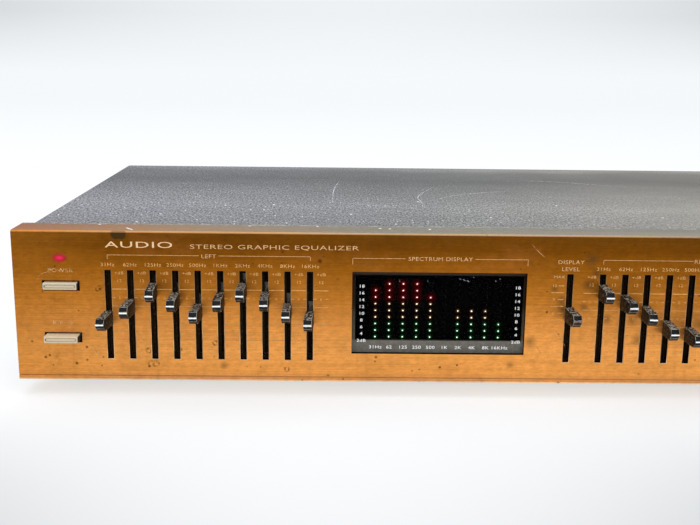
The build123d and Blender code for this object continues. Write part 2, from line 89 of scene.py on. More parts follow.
def srgb(red, green, blue):
    """Screen colour, 0 to 255, as linear RGBA."""
    def linear(c):
        c /= 255
        return c / 12.92 if c <= 0.04045 else ((c + 0.055) / 1.055) ** 2.4
    return (linear(red), linear(green), linear(blue), 1.0)


# ---------------------------------------------------------------- materials

class Paint:
    """A node material built round one Principled shader."""

    def __init__(self, name, color=(0.5, 0.5, 0.5, 1), roughness=0.5, **sockets):
        self.material = bpy.data.materials.new(name)
        self.material.use_nodes = True
        self.tree = self.material.node_tree
        self.shader = self.tree.nodes["Principled BSDF"]
        self.set(Base_Color=color, Roughness=roughness, **sockets)
        self.place = self.add("ShaderNodeTexCoord").outputs["Object"]

    def set(self, **sockets):
        """Feed the shader's sockets, whose names take underlines for spaces."""
        for socket, source in sockets.items():
            self.feed(source, self.shader.inputs[socket.replace("_", " ")])

    def feed(self, source, target):
        """Link a socket, or set a constant, on a target socket."""
        if isinstance(source, bpy.types.NodeSocket):
            self.tree.links.new(source, target)
        elif target.type == "VECTOR":
            target.default_value = source[:3]
        else:
            target.default_value = source

    def add(self, kind, feeds=None, **settings):
        """New node with its settings, and what is fed to its sockets."""
        node = self.tree.nodes.new(kind)
        for key, value in settings.items():
            setattr(node, key, value)
        for key, source in (feeds or {}).items():
            self.feed(source, node.inputs[key])
        return node

    def math(self, operation, a, b=0.0):
        return self.add("ShaderNodeMath", {0: a, 1: b}, operation=operation).outputs[0]

    def times(self, a, b):
        return self.math("MULTIPLY", a, b)

    def vector(self, operation, *sources):
        node = self.add("ShaderNodeVectorMath", dict(enumerate(sources)), operation=operation)
        return node.outputs["Value" if operation == "DISTANCE" else 0]

    def stretch(self, scale):
        """Object coordinates, scaled on each axis or all alike."""
        return self.vector("MULTIPLY", self.place, scale if isinstance(scale, tuple) else (scale,) * 3)

    def axis(self, index):
        return self.add("ShaderNodeSeparateXYZ", {0: self.place}).outputs[index]

    def noise(self, scale, detail=2.0, rough=0.5):
        feeds = {"Scale": 1.0, "Detail": detail, "Roughness": rough, "Vector": self.stretch(scale)}
        return self.add("ShaderNodeTexNoise", feeds).outputs["Fac"]

    def span(self, value, low, high, to_low=0.0, to_high=1.0):
        """Map a value from one range to another, clamped."""
        feeds = {"Value": value, "From Min": low, "From Max": high, "To Min": to_low, "To Max": to_high}
        return self.add("ShaderNodeMapRange", feeds, clamp=True).outputs["Result"]

    def spots(self, scale, radius, share, soft=0.35):
        """1 inside small round spots: about `share` of the cells hold one."""
        cell = self.add("ShaderNodeTexVoronoi", {"Scale": 1.0, "Vector": self.stretch(scale)})
        size = self.span(cell.outputs["Distance"], radius * (1 - soft), radius, 1, 0)
        pick = self.add("ShaderNodeSeparateColor", {0: cell.outputs["Color"]})
        return self.times(size, self.math("LESS_THAN", pick.outputs[0], share))

    def ramp(self, value, stops):
        node = self.add("ShaderNodeValToRGB", {0: value})
        elements = node.color_ramp.elements
        while len(elements) < len(stops):
            elements.new(0.5)
        for element, (place, color) in zip(elements, stops):
            element.position = place
            element.color = color
        return node.outputs[0]

    def mix(self, factor, a, b):
        node = self.add("ShaderNodeMix", {"Factor": factor, "A": a, "B": b}, data_type="RGBA")
        return [o for o in node.outputs if o.type == "RGBA"][0]

    def stain(self, base, mask, strength, color):
        """Lay a colour over another where a mask is high."""
        return self.mix(self.times(mask, strength), base, color)

    def tint(self, color, low, high, value):
        """Multiply a colour by a grey that runs from low to high as value runs from 0 to 1."""
        grey = self.span(value, 0, 1, low, high)
        return self.add("ShaderNodeVectorMath", {0: color, "Scale": grey}, operation="SCALE").outputs[0]

    def fade(self):
        """The number that lamps and blooms carry at each corner."""
        return self.add("ShaderNodeAttribute", attribute_name="fade").outputs["Fac"]

    def facing(self, index, low, high):
        """How far the surface's normal points along one axis, mapped to 0..1."""
        normal = self.add("ShaderNodeNewGeometry").outputs["Normal"]
        parts = self.add("ShaderNodeSeparateXYZ", {0: normal})
        return self.span(parts.outputs[index], low, high)

    def marks(self, places, soft=0.6, wobble=0.5):
        """1 inside round marks on the fascia, listed as PITS below is."""
        shift = self.add("ShaderNodeTexNoise", {"Scale": 450, "Vector": self.place}).outputs["Color"]
        ragged = self.vector("MULTIPLY_ADD", shift, (wobble * MM * 2,) * 3, self.place)
        flat = self.vector("MULTIPLY", ragged, (1, 0, 1))
        total = 0.0
        for x, height, inner, outer in places:
            middle = ((x + wobble) * MM, 0, up(height) + wobble * MM)
            away = self.vector("DISTANCE", flat, middle)
            inside = self.span(away, outer * (1 - soft) * MM, outer * MM, 1, 0)
            if inner:
                inside = self.times(inside, self.span(away, inner * 0.6 * MM, inner * MM))
            total = self.math("MAXIMUM", total, inside)
        return total

    def color(self, source):
        self.set(Base_Color=source)

    def rough(self, source):
        self.set(Roughness=source)

    def bump(self, height, distance, strength=1.0):
        feeds = {"Strength": strength, "Distance": distance, "Height": height}
        self.set(Normal=self.add("ShaderNodeBump", feeds).outputs[0])


# Marks of age on the fascia: x, height, inner radius, outer radius, all in millimetres
PITS = ((-196.7, 11.1, 0, 0.8), (-194.7, 12.1, 0, 0.7), (-202.9, 19.0, 0, 0.7), (-176.7, 16.3, 0, 0.8),
        (-181.9, 8.2, 0, 0.9), (-37.7, 12.5, 0, 0.8), (-6.6, 7.7, 0, 0.8), (1.6, 8.8, 0, 0.7),
        (43.8, 35.8, 0, 0.8), (-64.9, 59.7, 0, 1.3), (-169.2, 45.2, 0, 0.8))
RINGS = ((-115.2, 19.1, 0.8, 1.7), (-147.0, 15.0, 0.9, 1.7), (-146.1, 8.4, 1.2, 2.1),
         (-143.8, 8.2, 1.1, 2.0), (-80.6, 6.0, 0.9, 1.8), (-169.7, 45.4, 1.0, 2.0))
SMUDGES = ((36.4, 20.7, 0, 4.0), (72.8, 32.4, 0, 3.6), (50.6, 41.3, 0, 3.0), (51.2, 37.0, 0, 3.6),
           (47.0, 47.0, 0, 2.4), (88.0, 22.0, 0, 4.0), (27.3, 9.0, 0, 2.4), (84.8, 32.2, 0, 3.4),
           (64.0, 61.6, 0, 4.0), (61.4, 38.4, 0, 2.8), (-111.0, 7.8, 0, 2.6),
           (62.8, 49.6, 0, 3.4), (66.5, 55.0, 0, 3.0))
WORN_SPOT = ((-160.6, 71.9, 0, 2.9), (-158.5, 71.9, 0, 2.9))


def gold_paint():
    """Brushed, gold-anodised aluminium, darker towards the top as a painted reflection, with painted
    highlights at its edges and on its top ledge, rust pits and handling marks.
    """
    p = Paint("gold_anodised", roughness=0.42, Metallic=0.95, Anisotropic=0.4)
    height = p.span(p.axis(2), FACE_LOW.z, FACE_HIGH.z)
    # Painted reflection: lighter at the bottom and darker towards the top, as the face would mirror the
    # bright floor below and darker surroundings above. The pale bottom rim and the top edge line are
    # painted highlights.
    face = p.ramp(height, [
        (0.00, srgb(244, 200, 150)), (0.007, srgb(236, 190, 138)), (0.011, srgb(208, 142, 84)),
        (0.06, srgb(232, 156, 76)), (0.22, srgb(236, 160, 80)), (0.40, srgb(218, 143, 66)),
        (0.57, srgb(196, 123, 42)), (0.75, srgb(157, 94, 18)), (0.90, srgb(119, 68, 5)),
        (0.99, srgb(112, 67, 10)), (0.997, srgb(186, 134, 76))])
    clouds = p.noise((9, 9, 14), 3, 0.6)
    face = p.tint(face, 0.86, 1.14, p.span(clouds, 0.3, 0.7))
    rosy = p.span(p.noise((28, 28, 46), 4, 0.65), 0.56, 0.74, 0, 0.22)
    face = p.mix(rosy, face, srgb(196, 120, 62))
    ends = p.span(p.math("ABSOLUTE", p.axis(0)), 0.165, 0.205, 0, 0.35)
    face = p.mix(ends, face, srgb(184, 114, 34))
    brushing = p.noise((12, 700, 2000), 3, 0.65)
    face = p.tint(face, 0.90, 1.10, p.span(brushing, 0.3, 0.7))
    mottle = p.noise((380, 380, 1300), 2, 0.6)
    face = p.tint(face, 0.88, 1.12, p.span(mottle, 0.28, 0.72))
    blotch = p.noise((260, 260, 320), 3, 0.6)
    face = p.tint(face, 0.93, 1.07, p.span(blotch, 0.35, 0.65))
    streaks = p.span(p.noise((200, 200, 9), 3, 0.6), 0.58, 0.76, 0, 0.16)
    face = p.mix(streaks, face, srgb(120, 70, 30))
    face = p.stain(face, p.span(p.noise(60, 5, 0.7), 0.60, 0.75), 0.35, srgb(120, 66, 20))
    for scale, radius, share in ((130, 0.10, 0.14), (60, 0.055, 0.20), (300, 0.16, 0.10)):
        face = p.stain(face, p.spots((scale, 60, scale), radius, share), 0.6, srgb(84, 44, 14))
    face = p.stain(face, p.marks(SMUDGES, 0.9), 0.52, srgb(74, 58, 36))
    face = p.stain(face, p.marks(WORN_SPOT, 0.22, 0.3), 0.94, srgb(70, 50, 20))
    broken = p.span(p.noise(620, 2), 0.38, 0.58, 0.1, 0.75)
    face = p.stain(face, p.marks(RINGS, 0.35, 0.9), broken, srgb(104, 62, 18))
    face = p.stain(face, p.marks(PITS, 0.5, 0.3), 0.75, srgb(70, 40, 14))
    # Painted reflection on the top ledge: orange at the left turning grey at the right, and lighter along
    # its front edge.
    top = p.ramp(p.span(p.axis(0), -0.21, 0.21), [
        (0.0, srgb(176, 106, 50)), (0.18, srgb(168, 126, 80)), (0.42, srgb(138, 128, 104)),
        (0.62, srgb(150, 142, 124)), (1.0, srgb(168, 162, 152))])
    front = p.span(p.axis(1), FACE_LOW.y, FACE_LOW.y + 0.010)
    top = p.tint(top, 1.06, 0.90, front)
    dust = p.span(p.noise((300, 500, 300), 3, 0.7), 0.40, 0.70, 0.0, 0.40)
    dust = p.times(dust, p.span(p.axis(0), -0.20, -0.10, 0.3, 1.0))
    top = p.mix(dust, top, srgb(150, 142, 130))
    back = p.span(p.axis(1), FACE_LOW.y + 0.010, FACE_LOW.y + 0.019)
    top = p.stain(top, back, p.span(p.axis(0), -0.20, -0.10, 0.2, 0.45), srgb(138, 134, 126))
    # Painted highlight: a broken pale line along the rear edge of the top ledge.
    rear_edge_highlight = p.math("GREATER_THAN", p.axis(1), FACE_LOW.y + 0.0174)
    rear_edge_highlight = p.times(rear_edge_highlight, p.span(p.noise(300, 3, 0.7), 0.48, 0.60, 0.0, 0.75))
    top = p.mix(rear_edge_highlight, top, srgb(214, 204, 190))
    whole = p.mix(p.facing(2, 0.55, 0.9), face, top)
    p.color(whole)
    p.rough(p.span(mottle, 0.25, 0.75, 0.36, 0.52))
    p.bump(mottle, 0.00003, 0.4)
    return p.material


def slot_edge_highlight_paint():
    """Painted highlight: pale strips along the sides of the slots, darker towards the top."""
    p = Paint("cut_edge", roughness=0.5)
    fade = p.ramp(p.span(p.axis(2), up(10), up(54)), [
        (0.0, srgb(226, 178, 124)), (0.5, srgb(196, 146, 88)), (1.0, srgb(140, 98, 46))])
    p.color(p.tint(fade, 0.50, 1.20, p.span(p.noise((260, 260, 160), 3), 0.35, 0.65)))
    return p.material


def cover_paint():
    """Fine wrinkled grey paint with dust and lint; its brightness ramp across the top and a darker band
    towards the back are painted reflection.
    """
    p = Paint("cover_paint", roughness=0.55)
    # Painted reflection: lighter towards the right, and in bands from front to back with a darker band
    # towards the back.
    across = p.span(p.axis(0), -0.2, 0.17)
    base = p.ramp(across, [
        (0.0, srgb(114, 114, 119)), (0.45, srgb(104, 105, 106)), (1.0, srgb(132, 127, 119))])
    depth = p.span(p.axis(1), COVER_LOW.y, COVER_HIGH.y)
    wander = p.times(p.math("SUBTRACT", p.noise(5, 2), 0.5), 0.35)
    band = p.ramp(p.math("ADD", depth, wander), [
        (0.0, (0.55, 0.55, 0.55, 1)), (0.25, (0.80, 0.80, 0.80, 1)), (0.45, (0.45, 0.45, 0.45, 1)),
        (0.70, (0.04, 0.04, 0.04, 1)), (0.90, (0.20, 0.20, 0.20, 1)), (1.0, (0.70, 0.70, 0.70, 1))])
    base = p.tint(base, 0.40, 1.45, band)
    grain = p.noise((950, 400, 950), 2, 0.65)
    worn = p.span(p.math("ADD", p.axis(0), p.times(p.axis(1), 0.5)), -0.05, 0.12, 1.0, 0.35)
    worn = p.times(worn, p.span(p.facing(2, -0.3, 0.8), 0, 1, 0.38, 1.0))
    speck = p.times(p.math("SUBTRACT", p.span(grain, 0.30, 0.70), 0.5), worn)
    base = p.tint(base, 0.0, 2.0, p.math("ADD", p.times(speck, 1.15), 0.5))
    patches = p.noise((35, 60, 35), 4, 0.6)
    base = p.tint(base, 0.90, 1.10, p.span(patches, 0.3, 0.7))
    fine = p.times(p.spots((520, 300, 520), 0.26, 0.16), worn)
    fine = p.times(fine, p.span(depth, 0.25, 0.8, 0.75, 0.15))
    base = p.mix(fine, base, srgb(222, 223, 228))
    p.color(base)
    p.rough(p.span(grain, 0.3, 0.7, 0.42, 0.70))
    p.bump(p.times(grain, worn), 0.0006, 0.8)
    return p.material


def end_cap_paint():
    """Satin bronze plastic, lightly grained."""
    p = Paint("end_cap_bronze", roughness=0.45)
    grain = p.noise(700, 3, 0.6)
    p.color(p.tint(srgb(132, 88, 44), 0.85, 1.12, grain))
    p.bump(grain, 0.00006, 0.4)
    return p.material


def moulded(name, color, roughness=0.5, grain_scale=900, depth=0.00005):
    """Moulded plastic with a fine grain and uneven polish."""
    p = Paint(name, color, roughness)
    grain = p.noise(grain_scale, 3, 0.6)
    wear = p.noise(60, 4, 0.65)
    p.color(p.tint(p.tint(color, 0.88, 1.12, grain), 0.88, 1.12, p.span(wear, 0.3, 0.7)))
    p.rough(p.span(wear, 0.3, 0.7, max(0.05, roughness - 0.08), roughness + 0.12))
    p.bump(grain, depth, 0.4)
    return p.material


def dusty_shade_paint():
    """Parts seen through the slots, painted dark brown as the shade inside them, with specks of dust."""
    p = Paint("inside_shade", roughness=0.9, Specular_IOR_Level=0.05)
    dust = p.span(p.noise(900, 2), 0.60, 0.72, 0, 0.5)
    p.color(p.mix(dust, srgb(78, 58, 36), srgb(140, 120, 92)))
    return p.material


def metal(name, color, roughness=0.3, brush=(40, 900, 900)):
    """Bare or plated metal with fine drawn lines."""
    p = Paint(name, color, roughness, Metallic=1.0)
    lines = p.noise(brush, 3, 0.6)
    p.color(p.tint(color, 0.85, 1.12, lines))
    p.rough(p.span(lines, 0.25, 0.75, max(0.05, roughness - 0.08), roughness + 0.12))
    return p.material


KNOB_SHINE = 0.12        # specular level of the knobs' moulding


def knob_paint():
    """Black moulding: glossy at the front, dusty and scuffed on top and down the sides; the pale specks on
    top are partly a painted highlight.
    """
    p = Paint("knob_black", srgb(22, 22, 24), 0.2)
    scuff_and_glint = p.span(p.noise((1100, 700, 1100), 2, 0.5), 0.48, 0.60)
    drag = p.span(p.noise((1000, 800, 1000), 2, 0.5), 0.52, 0.64)
    # Partly painted highlight: the pale specks on the top are dust and scuffs, and also stand in for light
    # catching it.
    top = p.mix(scuff_and_glint, srgb(16, 14, 12), srgb(148, 142, 132))
    side = p.mix(drag, srgb(9, 8, 7), srgb(80, 73, 62))
    worn = p.mix(p.facing(2, 0.3, 0.6), side, top)
    front = p.times(p.facing(1, -0.40, -0.55), p.facing(2, -0.97, -0.88))
    p.color(p.mix(front, worn, srgb(7, 7, 8)))
    p.rough(p.span(front, 0, 1, 0.55, 0.28))
    p.set(Specular_IOR_Level=KNOB_SHINE)
    p.bump(scuff_and_glint, 0.00010, 0.6)
    return p.material


def knob_edge_highlight_paint():
    """Knob corners painted pale in places: a painted highlight along the edges."""
    p = Paint("knob_edge_highlight", roughness=0.4, Specular_IOR_Level=0.2)
    edge_glint = p.span(p.noise(420, 2), 0.40, 0.60)
    p.color(p.mix(edge_glint, srgb(44, 42, 38), srgb(166, 162, 152)))
    return p.material


def button_paint(name, color):
    """Ivory moulding whose left and right sides are painted dark as shade."""
    p = Paint(name, color, 0.36)
    grain = p.tint(color, 0.92, 1.08, p.noise(500, 3, 0.6))
    # Painted shade: the sides facing left and right are darkened and dulled.
    side = p.span(p.math("ABSOLUTE", p.math("SUBTRACT", p.facing(0, -1, 1), 0.5)), 0.36, 0.46)
    p.color(p.mix(side, grain, srgb(34, 24, 16)))
    p.rough(p.span(side, 0, 1, 0.36, 0.9))
    return p.material


def lens_paint():
    """Smoked clear plastic with dust specks."""
    p = Paint("smoked_lens", (0.001, 0.001, 0.001, 1), 0.08, Alpha=0.35, Specular_IOR_Level=0.03)
    dust = p.spots((260, 1, 260), 0.10, 0.035)
    smear = p.span(p.noise((90, 1, 90), 4, 0.7), 0.60, 0.78, 0, 0.03)
    marks = p.math("MAXIMUM", p.times(dust, 0.5), smear)
    p.color(p.mix(marks, (0.001, 0.001, 0.001, 1), srgb(170, 172, 178)))
    p.set(Alpha=p.span(dust, 0, 1, 0.35, 0.9))
    return p.material


def frame_paint():
    """Grey legend strip below the pane; the rim round the pane lies in shadow and is grubby."""
    p = Paint("display_grey", roughness=0.7, Specular_IOR_Level=0.08)
    tone = p.ramp(p.span(p.axis(2), up(20.0), up(54.4)), [
        (0.0, srgb(103, 99, 92)), (0.03, srgb(84, 76, 62)), (0.40, srgb(70, 60, 46)),
        (0.52, srgb(38, 27, 18)), (0.95, srgb(32, 22, 15)), (0.97, srgb(62, 50, 40))])
    p.color(p.tint(tone, 0.82, 1.18, p.span(p.noise(600, 3), 0.3, 0.7)))
    return p.material


def lamp_paint(name, shell, core, strength):
    """Lit lamp: a tinted dome that burns out to near white at its tip."""
    p = Paint(name, shell, 0.3, Specular_IOR_Level=0.1)
    fade = p.fade()
    hot = p.math("POWER", fade, 3.0)
    p.set(Emission_Color=p.mix(hot, shell, core), Emission_Strength=p.span(hot, 0, 1, 0.10, strength))
    p.color(p.tint(shell, 0.2, 0.4, p.noise(900, 2)))
    return p.material


def power_paint():
    """Lit red lens, pink at its middle and rusty at its rim."""
    p = Paint("lamp_power", roughness=0.3, Specular_IOR_Level=0.2)
    fade = p.fade()
    glass = p.ramp(fade, [(0.0, srgb(150, 64, 24)), (0.3, srgb(186, 34, 34)), (0.6, srgb(220, 14, 60)),
                          (1.0, srgb(244, 40, 92))])
    glass = p.tint(glass, 0.85, 1.15, p.noise(700, 2))
    p.set(Emission_Color=glass, Emission_Strength=0.62)
    p.color(p.tint(glass, 0.15, 0.25, fade))
    return p.material


def halo_paint(name, color, strength, peak=1.0):
    """Faint bloom round a lit lamp, fading to nothing at its rim."""
    p = Paint(name, (0, 0, 0, 1), 1.0, Emission_Color=color, Emission_Strength=strength,
              Specular_IOR_Level=0.0)
    p.set(Alpha=p.times(p.math("POWER", p.fade(), 1.6), peak))
    return p.material


def ink(name, color, wear=0.35, low_fade=0.0):
    """Screen-printed ink, broken by wear, thinner towards the bottom of the fascia and painted paler there
    as a painted highlight.
    """
    p = Paint(name, color, 0.6)
    worn = p.span(p.noise(500, 4, 0.7), 0.35, 0.65, 1 - wear, 1.0)
    pale = p.tint(color, 0.9, 1.05, worn)
    if low_fade:
        height = p.span(p.axis(2), up(20), up(50))
        worn = p.times(worn, p.span(height, 0, 1, 1 - low_fade, 1.0))
        # Painted highlight: paler towards the bottom, to follow the face's painted reflection.
        pale = p.tint(pale, 1.35, 1.0, height)
    p.color(pale)
    p.set(Alpha=worn)
    return p.material


def board_paint(name, color, trace):
    """Circuit board: solder mask with faint tracks."""
    p = Paint(name, color, 0.35)
    tracks = p.span(p.noise(160, 1), 0.48, 0.52)
    p.color(p.mix(tracks, color, trace))
    return p.material


def insulator_paint():
    """White for the upper row of sockets and red for the lower."""
    p = Paint("jack_insulator", roughness=0.35)
    low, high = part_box("jack_insulators")
    upper = p.math("GREATER_THAN", p.axis(2), (low.z + high.z) / 2)
    tone = p.noise(600, 2)
    p.color(p.tint(p.mix(upper, srgb(190, 24, 20), srgb(228, 226, 216)), 0.9, 1.05, tone))
    return p.material


INKS = {   # colour, wear and how far it fades towards the bottom
    "ink_mark": ((240, 202, 154), 0.20), "ink_cream": ((224, 180, 128), 0.25),
    "ink_rule": ((212, 160, 102), 0.30), "ink_scale": ((240, 184, 112), 0.35, 0.65),
    "ink_faint": ((236, 190, 136), 0.80), "ink_white": ((250, 250, 250), 0.05),
    "scuff_pale": ((206, 208, 210), 0.7), "lint_grey": ((150, 152, 156), 0.7),
    "line_white": ((250, 250, 250), 0.06), "line_dull": ((170, 128, 112), 0.5),
    "scratch_pale": ((210, 152, 90), 0.75),
}
MOULDINGS = {   # colour, roughness, grain scale and depth
    "black_plastic": ((24, 24, 24), 0.5), "winding_tape": ((206, 180, 80), 0.3),
    "capacitor_sleeve": ((30, 40, 72), 0.25), "fuse_glass": ((215, 222, 222), 0.08),
    "standoff_nylon": ((222, 220, 208), 0.4), "rear_paint": ((34, 34, 36), 0.5, 900, 0.00002),
    "foot_rubber": ((30, 30, 30), 0.75, 700), "lint_white": ((246, 247, 250), 0.9),
}
METALS = {   # colour, roughness and brushing
    "chassis_steel": ((176, 174, 160), 0.38, (30, 700, 700)),
    "core_iron": ((84, 78, 74), 0.55, (20, 20, 3000)), "sink_aluminium": ((44, 44, 46), 0.45),
    "clip_brass": ((200, 190, 160), 0.3), "screw_black": ((40, 40, 42), 0.35, (500, 500, 500)),
    "screw_zinc": ((190, 186, 168), 0.3, (500, 500, 500)),
    "jack_nickel": ((206, 202, 192), 0.16, (200, 60, 200)),
    "lever_steel": ((150, 148, 142), 0.35, (300, 40, 900)),
}
UNLIT = {   # surfaces that stay black; the walls inside the fascia's cuts are painted shade
    "mask_black": (3, 3, 4), "cut_wall_shade": (22, 15, 9), "lamp_dark": (4, 4, 5),
}
MATERIALS = {
    "fascia_gold": gold_paint(),
    "end_cap_gold": end_cap_paint(),
    "cut_edge": slot_edge_highlight_paint(),
    "cover_grey": cover_paint(),
    "inside_shade": dusty_shade_paint(),
    "display_grey": frame_paint(),
    "smoked_lens": lens_paint(),
    "board_green": board_paint("board_green", srgb(24, 72, 40), srgb(46, 104, 62)),
    "board_brown": board_paint("board_brown", srgb(120, 84, 44), srgb(150, 104, 58)),
    "jack_white": insulator_paint(),
    "slider_black": knob_paint(),
    "knob_edge_highlight": knob_edge_highlight_paint(),
    "button_ivory": button_paint("button_ivory", srgb(203, 187, 159)),
    "button_shade": button_paint("button_shade", srgb(197, 181, 152)),
    "lamp_power": power_paint(),
    "power_bloom": halo_paint("power_bloom", srgb(255, 70, 40), 0.5, 0.8),
}
for table, builder in ((INKS, ink), (MOULDINGS, moulded), (METALS, metal)):
    for title, settings in table.items():
        MATERIALS[title] = builder(title, srgb(*settings[0]), *settings[1:])
for title, color in UNLIT.items():
    MATERIALS[title] = Paint(title, srgb(*color), 0.9, Specular_IOR_Level=0.0).material
BLOOM = {   # strength, densest part, radius in millimetres
    "green": (0.14, 0.20, 2.4), "yellow": (0.12, 0.20, 2.4), "red": (0.55, 0.26, 3.4)}
LAMP_COLORS = {   # dome, hot tip, bloom
    "green": (srgb(0, 120, 50), srgb(226, 255, 234), srgb(0, 255, 60)),
    "yellow": (srgb(150, 90, 0), srgb(255, 250, 228), srgb(255, 130, 0)),
    "red": (srgb(190, 0, 20), srgb(255, 228, 226), srgb(255, 0, 24)),
}


# ---------------------------------------------------------------- mesh helpers

def add_object(name, data):
    one = bpy.data.objects.new(name, data)
    bpy.context.scene.collection.objects.link(one)
    return one


def place(name, bm, body, material, slot, replaces=(), **shading):
    """Put a bmesh in the scene as a piece of the object."""
    mesh = finished(bm, name, **shading)
    piece = add_object(name, mesh)
    for one in material if isinstance(material, tuple) else (material,):
        mesh.materials.append(MATERIALS[one])
    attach(piece, body)
    if replaces:
        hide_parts(*replaces)


def finished(bm, name, smooth=35, flat_above=None):
    """Turn a bmesh into a mesh, smooth except across edges sharper than `smooth` degrees.

    Faces larger than `flat_above` square millimetres stay flat, so that a rounded edge doesn't shade them.
    """
    bmesh.ops.recalc_face_normals(bm, faces=bm.faces)
    for face in bm.faces:
        face.smooth = True
    mesh = bpy.data.meshes.new(name)
    bm.to_mesh(mesh)
    bm.free()
    mesh.set_sharp_from_angle(angle=math.radians(smooth))
    for polygon in mesh.polygons if flat_above else ():
        polygon.use_smooth = polygon.area < flat_above * MM * MM
    return mesh


def cad_copy(node):
    """A CAD node's mesh with its flat faces whole again."""
    bm = bmesh.new()
    bm.from_mesh(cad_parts[node].data)
    bmesh.ops.remove_doubles(bm, verts=bm.verts, dist=1e-6)
    bmesh.ops.dissolve_limit(bm, angle_limit=math.radians(1), verts=bm.verts, edges=bm.edges)
    return bm


def sharp_edges(bm):
    return [e for e in bm.edges if len(e.link_faces) == 2 and e.calc_face_angle(0) > math.radians(40)]


def softened(node, width):
    """A copy of a CAD node with its sharp edges rounded by width millimetres."""
    bm = cad_copy(node)
    bmesh.ops.bevel(bm, geom=sharp_edges(bm), offset=width * MM, segments=2, affect="EDGES",
                    profile=0.5, clamp_overlap=True)
    return bm


def box_into(bm, low, high):
    """Add a box between two corners to a bmesh."""
    made = bmesh.ops.create_cube(bm, size=1.0)["verts"]
    bmesh.ops.scale(bm, verts=made, vec=high - low)
    bmesh.ops.translate(bm, verts=made, vec=(low + high) / 2)


def eased_boxes(boxes, width, segments=2):
    """Boxes between pairs of corners, their edges rounded by width millimetres."""
    bm = bmesh.new()
    for low, high in boxes:
        box_into(bm, low, high)
    bmesh.ops.bevel(bm, geom=list(bm.edges), offset=width * MM, segments=segments, affect="EDGES")
    return bm


def ring(bm, points):
    return [bm.verts.new(p) for p in points]


def bridge(bm, first, second):
    """Quads between two rings of the same length."""
    count = len(first)
    around = [(i, (i + 1) % count) for i in range(count)]
    return [bm.faces.new((first[i], first[j], second[j], second[i])) for i, j in around]


def rounded_rect(width, height, radius, y, centre, steps=5):
    """Points round a rounded rectangle in the XZ plane at depth y."""
    points = []
    for sx, sz, start in ((1, 1, 0), (-1, 1, 90), (-1, -1, 180), (1, -1, 270)):
        for k in range(steps + 1):
            angle = math.radians(start + 90 * k / steps)
            x = centre.x + sx * (width / 2 - radius) + radius * math.cos(angle)
            z = centre.z + sz * (height / 2 - radius) + radius * math.sin(angle)
            points.append(Vector((x, y, z)))
    return points


def oval(centre, across, tall, sides, power=1.0):
    """Points round an upright oval; half sizes in metres, ends more pointed as power grows above 1."""
    points = []
    for k in range(sides):
        a = 2 * math.pi * k / sides
        rise = math.copysign(abs(math.sin(a)) ** power, math.sin(a))
        points.append(centre + Vector((math.cos(a) * across, 0, rise * tall)))
    return points


def fading_mesh():
    """New bmesh whose corners carry the number that Paint.fade reads."""
    bm = bmesh.new()
    bm.verts.layers.float.new("fade")
    return bm


def loft(bm, rings, shaded=(), fades=()):
    """Closed body through a list of rings, capped at both ends.

    Bands in `shaded` take material 1, and each ring's corners take its number from `fades`.
    """
    made = [ring(bm, points) for points in rings]
    layer = bm.verts.layers.float.get("fade")
    for verts, fade in zip(made, fades):
        for vert in verts:
            vert[layer] = fade
    for k, (first, second) in enumerate(zip(made, made[1:])):
        for face in bridge(bm, first, second):
            face.material_index = int(k in shaded)
    bm.faces.new(made[0])
    bm.faces.new(made[-1])


# ---------------------------------------------------------------- lettering

def glyphs(items, weight=-0.015):
    """Mesh of several texts, their strokes grown by `weight` millimetres.

    Each item is (text, middle x mm, middle z m, cap height mm, width factor).
    """
    bm = bmesh.new()
    holders = []
    for text, x, z, height, wide in items:
        curve = bpy.data.curves.new("glyph", "FONT")
        curve.body = text
        curve.size = height * MM / CAP_SHARE
        curve.align_x = "CENTER"
        curve.resolution_u = 3
        curve.extrude = INK * MM / 2
        curve.space_character = 1.08
        curve.offset = weight * MM
        holders.append((add_object("glyph", curve), x * MM, z - height * MM / 2, wide))
    bpy.context.view_layer.update()
    graph = bpy.context.evaluated_depsgraph_get()
    for holder, x, z, wide in holders:
        mesh = bpy.data.meshes.new_from_object(holder.evaluated_get(graph))
        turn = Matrix.Translation((x, 0, z)) @ Matrix.Rotation(math.pi / 2, 4, "X")
        mesh.transform(turn @ Matrix.Diagonal((wide, 1, 1, 1)))
        bm.from_mesh(mesh)
        bpy.data.meshes.remove(mesh)
    for holder, *_ in holders:
        curve = holder.data
        bpy.data.objects.remove(holder)
        bpy.data.curves.remove(curve)
    return bm


def rule_into(bm, x0, x1, z0, z1):
    """Thin printed bar, x in millimetres and z in metres."""
    box_into(bm, Vector((x0 * MM, -INK * MM / 2, z0)), Vector((x1 * MM, INK * MM / 2, z1)))


def hline(bm, x0, x1, height, weight=0.28):
    rule_into(bm, x0, x1, up(height - weight / 2), up(height + weight / 2))


def bracket(bm, x0, x1, height, gap0, gap1, drop=2.0):
    """Line with turned-down ends and a gap for its title."""
    hline(bm, x0, gap0, height)
    hline(bm, gap1, x1, height)
    for x in (x0, x1 - 0.28):
        rule_into(bm, x, x + 0.28, up(height - drop), up(height))


def print_onto(name, bm, y, material, slot):
    """Lay printed marks on a surface that faces the front, at row Y."""
    bmesh.ops.translate(bm, verts=bm.verts, vec=(0, y - INK * MM / 2, 0))
    place(name, bm, CASE, material, slot)


# ---------------------------------------------------------------- the pieces

def middle_of(node):
    """Middle of a node's box, brought forward to the fascia's face."""
    low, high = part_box(node)
    return Vector(((low.x + high.x) / 2, FACE_Y, (low.z + high.z) / 2))


BANK_XS = sorted(middle_of(n).x / MM for n in SLIDERS if "display" not in n)
LEFT_XS, RIGHT_XS = BANK_XS[:10], BANK_XS[10:]
LEVEL_X = middle_of("slider_display_level").x / MM
PITCH = LEFT_XS[1] - LEFT_XS[0]


